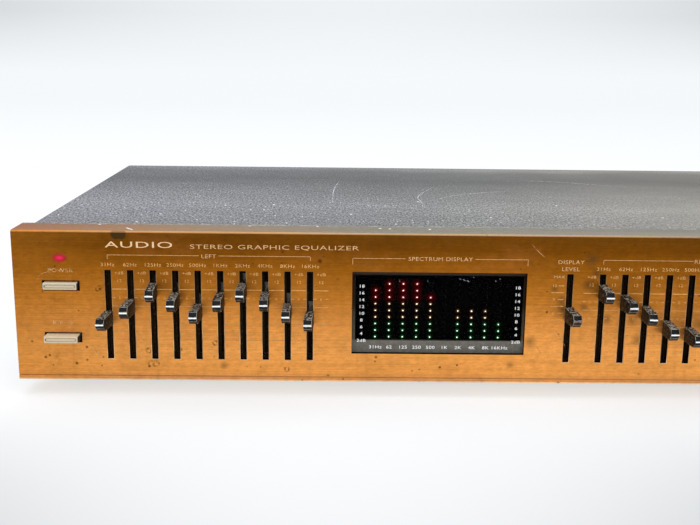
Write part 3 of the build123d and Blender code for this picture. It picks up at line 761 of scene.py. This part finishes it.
def edge_loops(edges):
    """Split edges into groups that touch."""
    left, loops = set(edges), []
    while left:
        group, queue = [], [left.pop()]
        while queue:
            edge = queue.pop()
            group.append(edge)
            touching = {e for v in edge.verts for e in v.link_edges} & left
            left -= touching
            queue.extend(touching)
        loops.append(group)
    return loops


def inside_rim(point, side):
    """Whether a point lies where the face has its cuts, `side` millimetres or more from its ends."""
    return (abs(point.x) < FACE_HIGH.x - side * MM
            and FACE_LOW.z + RIM * MM < point.z < FACE_HIGH.z - RIM * MM)


def cut_boxes(bm):
    """Outlines of the slots and windows where they meet the face: (low x, high x, low z, high z)."""
    def on_face(edge):
        return all(abs(v.co.y - FACE_Y) < 1e-5 and inside_rim(v.co, 2) for v in edge.verts)

    boxes = []
    for loop in edge_loops([e for e in sharp_edges(bm) if on_face(e)]):
        xs = [v.co.x for e in loop for v in e.verts]
        zs = [v.co.z for e in loop for v in e.verts]
        boxes.append((min(xs), max(xs), min(zs), max(zs)))
    return boxes


def build_fascia():
    """The face with softened edges, the walls in its cuts painted dark as shade, and a painted highlight
    along the sides of each slot.
    """
    bm = softened("front_fascia", 0.15)
    bm.normal_update()
    for face in bm.faces:
        centre = face.calc_center_median()
        across = abs(face.normal.y) < 0.15
        # Painted shade: walls inside the cuts take the near-black cut-wall colour.
        if across and inside_rim(centre, 4) and centre.y < FACE_Y + CUT_DEPTH * MM:
            face.material_index = 1
    place("fascia_face", bm, CASE, ("fascia_gold", "cut_wall_shade"), "fascia_gold", ["front_fascia"],
          flat_above=LARGE_FACE)

    whole = cad_copy("front_fascia")
    # Painted highlight: thin pale strips laid on the face along each slot's sides and bottom end.
    trim, width = bmesh.new(), SLOT_HIGHLIGHT_WIDTH * MM
    for x0, x1, z0, z1 in cut_boxes(whole):
        if x1 - x0 > WIDEST_SLOT * MM:
            continue
        for low_x, high_x, low_z, high_z in ((x0 - width, x0, z0 - width, z1),
                                             (x1, x1 + width, z0 - width, z1), (x0, x1, z0 - width, z0)):
            box_into(trim, Vector((low_x, FACE_Y - INK * MM, low_z)), Vector((high_x, FACE_Y, high_z)))
    whole.free()
    place("fascia_slot_highlights", trim, CASE, "cut_edge", "fascia_gold")


def build_case():
    """Cover, tray, back and end plates with rounded folds and edges."""
    for node, width, look in (
            ("top_cover", 0.35, "cover_grey"), ("rear_panel", 0.25, "rear_paint"),
            ("chassis_base", 0.20, "chassis_steel"), ("fascia_end_caps", 0.40, "end_cap_gold"),
            ("display_frame", 0.12, "display_grey"), ("feet", 0.80, "foot_rubber"),
            ("cord_gland", 0.60, "black_plastic"), ("jack_block", 0.40, "black_plastic"),
            ("jack_shells", 0.12, "jack_nickel")):
        place(node + "_piece", softened(node, width), CASE, look, look, [node], flat_above=LARGE_FACE)


# Knob's side outline: (millimetres in front of the face, millimetres above its line)
KNOB_OUTLINE = ((0.8, 2.6), (15.6, 2.5), (17.0, 0.5), (17.0, -0.5), (16.1, -1.9), (14.0, -3.5), (0.8, -4.3))
KNOB_REACH = 17.0        # how far it stands out of the face
KNOB_HALF = 1.95         # half a knob's width
# Sideways play of each knob at its tip, millimetres
KNOB_PLAY = {
    "slider_left_01": -0.9, "slider_left_02": -0.45, "slider_left_03": 1.0, "slider_left_05": -0.45,
    "slider_left_08": 0.35, "slider_left_09": -0.2, "slider_left_10": -0.65, "slider_right_01": -0.3,
    "slider_right_02": 0.3, "slider_right_03": -0.9, "slider_right_04": -1.0, "slider_display_level": 0.8,
}


def build_slider(node):
    """Knob with edges painted pale as a painted highlight, its white line, and the lever behind it."""
    line = middle_of(node)

    def lean(bm):
        for vert in bm.verts:
            ahead = (FACE_Y - vert.co.y) / MM / KNOB_REACH
            vert.co.x += KNOB_PLAY.get(node, 0.0) * MM * ahead

    bm = bmesh.new()
    left, right = (ring(bm, [line + mm(side, -ahead, above) for ahead, above in KNOB_OUTLINE])
                   for side in (-KNOB_HALF, KNOB_HALF))
    bridge(bm, left, right)
    bm.faces.new(left)
    bm.faces.new(right)
    made = bmesh.ops.bevel(bm, geom=list(bm.edges), offset=0.13 * MM, segments=2,
                           affect="EDGES", profile=0.5)
    # Painted highlight: the rounded edges take the pale knob-edge colour in places.
    for face in made["faces"]:
        face.material_index = 1
    lean(bm)
    place(node + "_knob", bm, node, ("slider_black", "knob_edge_highlight"), "slider_black", [node], smooth=50)

    thick, paint = (0.20, "line_dull") if "display" in node else (0.30, "line_white")
    across = KNOB_HALF - 0.05
    bm = eased_boxes([(line + mm(-across, -17.06, -thick), line + mm(across, -16.4, thick))], 0.05, 1)
    lean(bm)
    place(node + "_line", bm, node, paint, "slider_black")

    bm = eased_boxes([(line + mm(-0.6, -1, -2), line + mm(0.6, 11, 2)),
                      (line + mm(-3.1, 11, -4.5), line + mm(3.1, 15.6, 4.5))], 0.12)
    place(node + "_lever", bm, node, "lever_steel", "slider_black")


CAP_EASE = 0.12          # how much smaller a button's cap is all round than its node, millimetres
# Button cap from its back to the middle of its front: (inset, depth, corner radius), millimetres
CAP_PROFILE = ((0, 11.5, 0.45), (0, 0.45, 0.45), (0.08, 0.18, 0.42), (0.28, 0.02, 0.40), (0.38, 0, 0.40),
               (0.66, 0, 0.80), (0.74, 0.12, 0.76), (0.82, 0.50, 0.74), (1.12, 0.50, 0.55),
               (1.20, 0.24, 0.50), (1.30, 0.16, 0.36))
CAP_GROOVE = (5, 6, 7, 8)   # the bands of that profile inside the groove


def build_button(node):
    """Ivory cap with a rounded rim and a dished middle, and its plunger."""
    low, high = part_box(node)
    start = middle_of(node)
    start.y = low.y
    wide, tall = high.x - low.x, high.z - low.z
    middle = start - mm(CAP_EASE, 0, 0)

    def at(inset, depth, radius):
        inset = (inset + CAP_EASE) * 2 * MM
        return rounded_rect(wide - inset, tall - inset, radius * MM, start.y + depth * MM, middle)

    bm = bmesh.new()
    loft(bm, [at(*step) for step in CAP_PROFILE], shaded=CAP_GROOVE)
    place(node + "_cap", bm, node, ("button_ivory", "button_shade"), "button_ivory", [node], smooth=40)
    bm = eased_boxes([(start + mm(-1.5, 11.5, -1.5), start + mm(1.5, 25, 1.5))], 0.2)
    place(node + "_plunger", bm, node, "black_plastic", "button_ivory")


LIT_LAMPS = (8, 9, 9, 9, 7, 0, 5, 5, 5, 3)   # lit from the bottom, in each band's column
LAMP_RADIUS = 1.0        # millimetres
LAMP_LENGTH = 3.0
# Rings from the tip backwards: (size as a share of the lamp's, depth in millimetres, glow)
LAMP_PROFILE = ((0.14, 0.0, 1.0), (0.27, 0.04, 0.95), (0.36, 0.12, 0.48), (0.60, 0.26, 0.30),
                (0.86, 0.46, 0.15), (1.0, 0.9, 0.0), (1.0, LAMP_LENGTH, 0.0))
LENS_PROFILE = ((0.18, -0.40, 1.0), (0.42, -0.37, 0.8), (0.62, -0.32, 0.52), (0.84, -0.20, 0.2),
                (1.0, -0.01, 0.0))
LENS_HALF = (3.5, 1.95)  # half the power lamp's lens, across and up, millimetres


def lamp_grid(node):
    """Centres of one colour's lamps: (column, row counted from the bottom of the matrix, point)."""
    low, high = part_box(node)
    first_row = {"leds_green": 0, "leds_yellow": 3, "leds_red": 6}[node]
    radius = LAMP_RADIUS * MM
    found = []
    for row in range(3):
        z = low.z + radius + row * (high.z - low.z - 2 * radius) / 2
        for column in range(10):
            x = low.x + radius + column * (high.x - low.x - 2 * radius) / 9
            found.append((column, first_row + row, Vector((x, low.y, z))))
    return found


def lamp_into(bm, tip, profile=LAMP_PROFILE, half=(LAMP_RADIUS, LAMP_RADIUS), sides=16, power=1.0):
    """Domed lamp, hottest at the point `tip`, running back along Y."""
    across, tall = (size * MM for size in half)
    rings = [oval(tip + mm(0, depth, 0), size * across, size * tall, sides, power)
             for size, depth, _ in profile]
    loft(bm, rings, fades=[glow for *_, glow in profile])


def halo_into(bm, centre, radius, sides=20):
    """Disc facing the front whose fade runs from 1 at the middle to 0 at the rim."""
    layer = bm.verts.layers.float["fade"]
    hub = bm.verts.new(centre)
    hub[layer] = 1.0
    inner = ring(bm, oval(centre, radius * 0.5, radius * 0.5, sides))
    outer = ring(bm, oval(centre, radius, radius, sides))
    for vert in inner:
        vert[layer] = 0.5
    bridge(bm, inner, outer)
    for k in range(sides):
        bm.faces.new((hub, inner[k], inner[(k + 1) % sides]))


def build_power_lamp():
    """Almond-shaped lens standing a little proud of the face, its stem through the hole, and its bloom."""
    low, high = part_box("power_led")
    middle = middle_of("power_led")
    bm = fading_mesh()
    lamp_into(bm, middle, LENS_PROFILE, LENS_HALF, sides=28, power=1.4)
    box_into(bm, Vector((low.x, FACE_Y, low.z)), high)
    place("power_lens", bm, CASE, "lamp_power", "lamp_power", ["power_led"], smooth=60)

    halo = fading_mesh()
    halo_into(halo, middle - mm(0, 0.03, 0), 4.9 * MM)
    for vert in halo.verts:
        vert.co.z += (vert.co.z - middle.z) * -0.28
    place("power_bloom", halo, CASE, "power_bloom", "lamp_power")


def build_display():
    """Lit and dark lamps, their bloom, and the legends on the pane and its surround."""
    for color in ("green", "yellow", "red"):
        node = "leds_" + color
        lit, dark, halo = fading_mesh(), fading_mesh(), fading_mesh()
        for column, row, tip in lamp_grid(node):
            if row < LIT_LAMPS[column]:
                lamp_into(lit, tip)
                halo_into(halo, tip + mm(0, -0.35, 0), BLOOM[color][2] * MM)
            else:
                lamp_into(dark, tip)
        shell, core, bloom = LAMP_COLORS[color]
        MATERIALS["lit_" + color] = lamp_paint("lamp_lit_" + color, shell, core, strength=8.0)
        MATERIALS["halo_" + color] = halo_paint("lamp_bloom_" + color, bloom, *BLOOM[color][:2])
        place(f"lamps_{color}_lit", lit, CASE, "lit_" + color, "lamp_" + color, [node])
        place(f"lamps_{color}_dark", dark, CASE, "lamp_dark", "lamp_" + color)
        place(f"lamps_{color}_bloom", halo, CASE, "halo_" + color, "lamp_" + color)

    build_power_lamp()
    rows, foot, names = [], [], []
    for k, text in enumerate(LAMP_LEVELS):
        z = up(20.1) + k * LEVEL_STEP * MM
        pair = [(text, -44.9, z, 1.5, 1.3), (text, 29.9, z - 0.2 * MM, 1.5, 1.3)]
        (rows if k else foot).extend(pair)
    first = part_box("leds_green")[0].x / MM + LAMP_RADIUS
    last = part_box("leds_red")[1].x / MM - LAMP_RADIUS
    for k, text in enumerate(LAMP_BANDS):
        names.append((text, first + k * (last - first) / 9, up(16.9), 1.6, 1.25))
    for name, items, y in (("display_scale", rows, PANE_Y), ("display_scale_foot", foot, SURROUND_Y),
                           ("display_band_names", names, SURROUND_Y)):
        print_onto(name, glyphs(items, 0.0), y, "ink_white", "display_grey")


def build_print():
    """All the printed scales and titles on the fascia."""
    faint = glyphs([("POWER", -187.6, up(54.2), 1.9, 1.25), ("BYPASS", -187.6, up(28.6), 1.7, 1.2)])
    print_onto("worn_lettering", faint, FACE_Y, "ink_faint", "fascia_gold")
    maker = glyphs([("AUDIO", -150.0, up(66.9), 3.0, 2.3)], 0.0)
    print_onto("front_mark", maker, FACE_Y, "ink_mark", "fascia_gold")
    texts = [("STEREO GRAPHIC EQUALIZER", -86.4, up(66.2), 2.15, 1.86),
             ("LEFT", sum(LEFT_XS) / 10, up(61.6), 1.9, 1.25),
             ("RIGHT", sum(RIGHT_XS) / 10, up(61.2), 1.9, 1.25),
             ("SPECTRUM DISPLAY", -7.9, up(61.3), 1.9, 1.22),
             ("DISPLAY", LEVEL_X, up(60.4), 1.9, 1.2),
             ("LEVEL", LEVEL_X, up(57.0), 1.9, 1.2),
             ("MAX", LEVEL_X - 5.2, up(53.2), 1.4, 1.2),
             ("TAPE", 187.6, up(54.4), 1.9, 1.25),
             ("EQ", 187.6, up(28.9), 1.9, 1.25)]
    lines, scale, marks = bmesh.new(), bmesh.new(), []
    for xs in (LEFT_XS, RIGHT_XS):
        marks += [(n, x, up(57.2), 1.75, 1.22) for n, x in zip(BAND_NAMES, xs)]
    gaps = [x + PITCH / 2 for x in LEFT_XS] + [x - PITCH / 2 for x in RIGHT_XS]
    for x in gaps:
        marks.append(("+dB", x, up(53.2), 1.45, 1.25))
        for step, number in ((4, "12"), (2, "6"), (0, "0"), (-2, "6"), (-4, "12")):
            marks.append((number, x, up(ZERO_LINE + step * LINE_STEP), 1.5, 1.15))
        for step in (3, 1, -1, -3):
            hline(scale, x - 3.5, x + 3.5, ZERO_LINE + step * LINE_STEP, 0.32)
        for step in (2, 0, -2):
            for s in (-1, 1):
                x0, x1 = sorted((x + s * 2.2, x + s * 3.5))
                hline(scale, x0, x1, ZERO_LINE + step * LINE_STEP, 0.32)
    for k in range(11):
        height = 48.8 - 3.36 * k
        if k % 2:
            hline(scale, LEVEL_X - 8.6, LEVEL_X - 2.6, height, 0.30)
        else:
            marks.append((str(10 - k), LEVEL_X - 7.2, up(height), 1.4, 1.15))
            hline(scale, LEVEL_X - 5.4, LEVEL_X - 2.6, height, 0.30)
    middle = sum(LEFT_XS) / 10
    bracket(lines, LEFT_XS[0], LEFT_XS[-1] + 0.3, 61.8, middle - 4.6, middle + 4.6)
    middle = sum(RIGHT_XS) / 10
    bracket(lines, RIGHT_XS[0] - 0.3, RIGHT_XS[-1], 61.4, middle - 5.4, middle + 5.4)
    bracket(lines, -49.5, 33.7, 61.3, -24.5, 8.7, 3.0)
    print_onto("fascia_lettering", glyphs(texts), FACE_Y, "ink_cream", "fascia_gold")
    print_onto("fascia_rules", lines, FACE_Y, "ink_rule", "fascia_gold")
    print_onto("scale_numbers", glyphs(marks), FACE_Y, "ink_scale", "fascia_gold")
    print_onto("scale_lines", scale, FACE_Y, "ink_scale", "fascia_gold")


SOCKET_RADIUS = 5.4      # millimetres
SOCKET_PITCH = 15


def build_rear_print():
    """Socket names on the back, mirrored so that they read from behind."""
    low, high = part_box("jack_shells")
    items = []
    for k, name in enumerate(("LINE OUT", "LINE IN", "PLAY", "REC")):
        x = -(low.x / MM + SOCKET_RADIUS + k * SOCKET_PITCH)
        items.append((name, x, high.z + 4 * MM, 2.1, 1.0))
    items += [("L", -(high.x / MM + 6), high.z - SOCKET_RADIUS * MM, 2.6, 1.0),
              ("R", -(high.x / MM + 6), low.z + SOCKET_RADIUS * MM, 2.6, 1.0)]
    bm = glyphs(items)
    bmesh.ops.rotate(bm, verts=bm.verts, cent=(0, 0, 0), matrix=Matrix.Rotation(math.pi, 3, "Z"))
    bmesh.ops.translate(bm, verts=bm.verts, vec=(0, REAR_Y + INK * MM / 2, 0))
    place("rear_lettering", bm, CASE, "ink_white", "rear_paint")


COVER_SCUFFS = (   # curved hairlines on the cover, in millimetres
    ((-57, 54), (-59, 32), (-60, 8), (-60, -25)),
    ((-59, -25), (-48, -30), (-37, -35), (-25, -40), (-11, -48)),
    ((1, 34), (-7, 11), (-11, -6), (-10, -24), (-11, -41)),
    ((-2, -14), (12, 4), (32, 16), (45, 21)),
    ((61, 68), (82, 64), (102, 55), (124, 43)))
COVER_LINT = (   # where fluff lies on the cover: x and y, millimetres
    (-195, -43), (-199, -74), (-170, -51), (-160, -51), (-148, -68), (-156, -91), (-103, -54),
    (-96, -53), (-69, -39), (-89, -71), (-75, -73), (-82, -90), (-60, -25), (-31, -37), (64, -30),
    (112, -66), (-28, -92), (-137, -58), (-127, -84), (-118, -40), (-108, -88), (-92, -36), (-50, -64),
    (-44, -84), (-12, -22), (22, -70))


def curve_through(points, steps=8):
    """Smooth path through points (Catmull-Rom)."""
    ends = [points[0]] + list(points) + [points[-1]]
    path = []
    for a, b, c, d in zip(ends, ends[1:], ends[2:], ends[3:]):
        for k in range(steps):
            t = k / steps
            path.append(0.5 * (2 * b + (c - a) * t + (2 * a - 5 * b + 4 * c - d) * t ** 2
                               + (3 * b - a - 3 * c + d) * t ** 3))
    return path + [points[-1]]


def stroke_into(bm, points, width, lift):
    """Closed thin strip along a path that lies on the cover, tapering at both ends."""
    rings = []
    for k, point in enumerate(points):
        ahead = points[min(k + 1, len(points) - 1)] - points[max(k - 1, 0)]
        side = Vector((-ahead.y, ahead.x, 0)).normalized()
        half = width * MM / 2 * (0.2 + math.sin(math.pi * (k + 0.5) / len(points)))
        corners = [point + side * half, point - side * half]
        rings.append(corners[::-1] + [c + Vector((0, 0, lift * MM)) for c in corners])
    loft(bm, rings)


FACE_SCRATCHES = (   # pale hairlines on the fascia: x and height, millimetres
    ((-172.9, 16.3), (-172.0, 13.8), (-169.0, 11.1)), ((34.9, 68.9), (37.9, 65.6), (41.4, 62.7)),
    ((48.6, 26.9), (53.4, 18.9)), ((39.4, 18.8), (42.0, 15.2)),
    ((-198.4, 49.0), (-197.4, 51.6), (-194.6, 53.0), (-191.2, 53.2)))
PANE_LINT = (   # fluff on the display's pane: x and height, millimetres
    ((1.6, 51.2), (2.6, 50.6)), ((3.4, 50.8), (4.6, 50.1)), ((5.2, 50.4), (6.4, 49.6)),
    ((8.2, 52.0), (8.8, 51.7)), ((18.8, 50.3), (19.4, 49.9)), ((20.8, 51.3), (21.4, 51.0)),
    ((-13.6, 49.9), (-13.1, 49.5)))
LEDGE_LINT = (   # fluff on top of the fascia: x and y, millimetres
    ((-157.3, -108.6), (-155.6, -110.8), (-153.1, -113.9)), ((-37.0, -104.6), (-35.6, -103.6)),
    ((-32.2, -105.6), (-31.0, -104.8)), ((-13.0, -105.8), (-11.8, -105.0)),
    ((-67.0, -100.4), (-66.0, -99.8)), ((-99.8, -101.4), (-98.6, -100.6)),
    ((-172.4, -100.8), (-171.2, -100.0)))


def standing_strokes(name, paths, y, width, lift, material, slot):
    """Thin strokes on a surface that faces the front, at row Y."""
    bm = bmesh.new()
    for path in paths:
        points = curve_through([Vector((x * MM, up(height), 0)) for x, height in path], 5)
        stroke_into(bm, points, width, lift)
    bmesh.ops.rotate(bm, verts=bm.verts, cent=(0, 0, 0), matrix=Matrix.Rotation(math.pi / 2, 3, "X"))
    bmesh.ops.translate(bm, verts=bm.verts, vec=(0, y, 0))
    place(name, bm, CASE, material, slot)


def build_dust():
    """Scuffs and lint lying on the cover and the face."""
    standing_strokes("face_scratches", FACE_SCRATCHES, FACE_Y, 0.26, INK, "scratch_pale", "fascia_gold")
    standing_strokes("pane_lint", PANE_LINT, PANE_Y, 0.34, 0.05, "lint_grey", "display_grey")
    scuffs, lint = bmesh.new(), bmesh.new()
    for path in LEDGE_LINT:
        points = curve_through([Vector((x * MM, y * MM, FACE_HIGH.z)) for x, y in path], 5)
        stroke_into(lint, points, 0.5, 0.2)
    top = COVER_HIGH.z
    for path in COVER_SCUFFS:
        points = curve_through([Vector((x * MM, y * MM, top)) for x, y in path])
        stroke_into(scuffs, points, 0.55, 0.03)
    for x, y in COVER_LINT:
        start = Vector((x * MM, y * MM, top))
        turn = random.uniform(-0.6, 0.6)
        way = Vector((math.cos(turn), math.sin(turn) * 2, 0)) * random.uniform(0.25, 0.7) * MM
        bend = Vector((0, random.uniform(-0.8, 0.8) * MM, 0))
        stroke_into(lint, curve_through([start - way, start + bend, start + way], 4), 0.42, 0.25)
    place("cover_scuffs", scuffs, CASE, "scuff_pale", "cover_grey")
    place("cover_lint", lint, CASE, "lint_white", "cover_grey")


def dress_cad_nodes():
    """Materials for the CAD nodes that stay as they are."""
    kept = {
        # Painted shade: the sub-panel and slide pot housings seen through the slots are painted dark.
        "sub_panel": "inside_shade", "slide_pot_housings": "inside_shade", "led_mask": "mask_black",
        "display_lens": "smoked_lens", "display_board": "board_green", "slider_board": "board_green",
        "power_switch_housing": "black_plastic",
        "function_switch_housings": "black_plastic", "main_board": "board_brown",
        "transformer_core": "core_iron", "transformer_winding": "winding_tape",
        "filter_capacitors": "capacitor_sleeve", "op_amp_ics": "black_plastic",
        "heat_sink": "sink_aluminium", "fuse": "fuse_glass", "fuse_clips": "clip_brass",
        "board_standoffs": "standoff_nylon", "cover_screws": "screw_black",
        "chassis_screws": "screw_zinc", "jack_insulators": "jack_white",
    }
    for node, material in kept.items():
        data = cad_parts[node].data
        data.materials.clear()
        data.materials.append(MATERIALS[material])


# ---------------------------------------------------------------- studio

def build_camera():
    camera = add_object("camera", bpy.data.cameras.new("camera"))
    camera.location = (-0.0548, -0.5781, 0.1718)
    camera.rotation_euler = [math.radians(a) for a in (77.24, -0.64, -0.365)]
    camera.data.sensor_width = 36.0
    camera.data.lens = 51.55
    camera.data.clip_start = 0.01
    bpy.context.scene.camera = camera


FLOOR = -0.0002          # just under the feet, so that the two never share a plane
FLOOR_GREY = (0.36, 0.365, 0.37, 1)


def build_backdrop():
    """Pale floor that sweeps up behind, with a painted light falloff: darker in front of the object and up
    the sweep, more so towards the sides.
    """
    bm = bmesh.new()
    profile = [(-3.0, FLOOR), (2.0, FLOOR)]
    profile += [(2.0 + 1.5 * math.sin(a), 1.5 - 1.5 * math.cos(a))
                for a in (math.radians(6 * k) for k in range(1, 16))]
    profile.append((3.5, 4.0))
    rows = [[bm.verts.new((x, y, z)) for y, z in profile] for x in (-8.0, 8.0)]
    for k in range(len(profile) - 1):
        bm.faces.new((rows[0][k], rows[1][k], rows[1][k + 1], rows[0][k + 1]))
    mesh = finished(bm, "backdrop", smooth=60)
    floor = add_object("backdrop", mesh)
    p = Paint("backdrop_white", FLOOR_GREY, 0.9, Specular_IOR_Level=0.0)
    # Painted light falloff: a darker band on the floor in front of the object, and darkening up the sweep,
    # both stronger towards the sides; the floor's glow follows it.
    sideways = p.math("POWER", p.times(p.math("ADD", p.axis(0), 0.055), 1 / 0.13), 2.0)
    sideways = p.math("MINIMUM", sideways, 1.3)
    near = p.times(p.span(p.axis(1), -0.12, -0.26), p.span(p.axis(1), -0.60, -0.30))
    dim = p.times(near, p.math("ADD", p.times(sideways, 0.13), 0.10))
    away = p.math("MINIMUM", p.math("POWER", p.times(p.axis(0), 1 / 1.25), 2.0), 1.3)
    far = p.times(p.span(p.axis(2), 0.06, 0.24), p.math("ADD", p.times(away, 0.13), 0.05))
    level = p.math("SUBTRACT", p.math("SUBTRACT", 1.0, dim), far)
    p.color(p.tint(FLOOR_GREY, 0.0, 1.0, level))
    p.set(Emission_Color=(0.97, 0.99, 1.0, 1), Emission_Strength=p.math("SUBTRACT", level, 0.40))
    mesh.materials.append(p.material)


def softbox(name, size, power, place_at, aim_at):
    data = bpy.data.lights.new(name, "AREA")
    data.shape = "RECTANGLE"
    data.size, data.size_y = size
    data.energy = power
    lamp = add_object(name, data)
    lamp.location = place_at
    lamp.rotation_euler = (Vector(aim_at) - Vector(place_at)).to_track_quat("-Z", "Y").to_euler()


def build_light():
    world = bpy.data.worlds.new("studio")
    world.use_nodes = True
    background = world.node_tree.nodes["Background"]
    background.inputs["Color"].default_value = (0.95, 0.975, 1.0, 1)
    background.inputs["Strength"].default_value = 0.9
    bpy.context.scene.world = world
    softbox("overhead", (2.4, 2.0), 22, (-0.3, -0.3, 1.9), (0, 0, 0))
    softbox("front_fill", (1.6, 1.0), 5, (0.4, -1.6, 0.9), (0, 0, 0.05))
    scene = bpy.context.scene
    scene.view_settings.view_transform = "Standard"
    scene.view_settings.look = "None"


random.seed(7)
build_camera()
build_backdrop()
build_light()
build_fascia()
build_case()
for slider in SLIDERS:
    build_slider(slider)
for button in BUTTONS:
    build_button(button)
build_display()
build_print()
build_rear_print()
build_dust()
dress_cad_nodes()
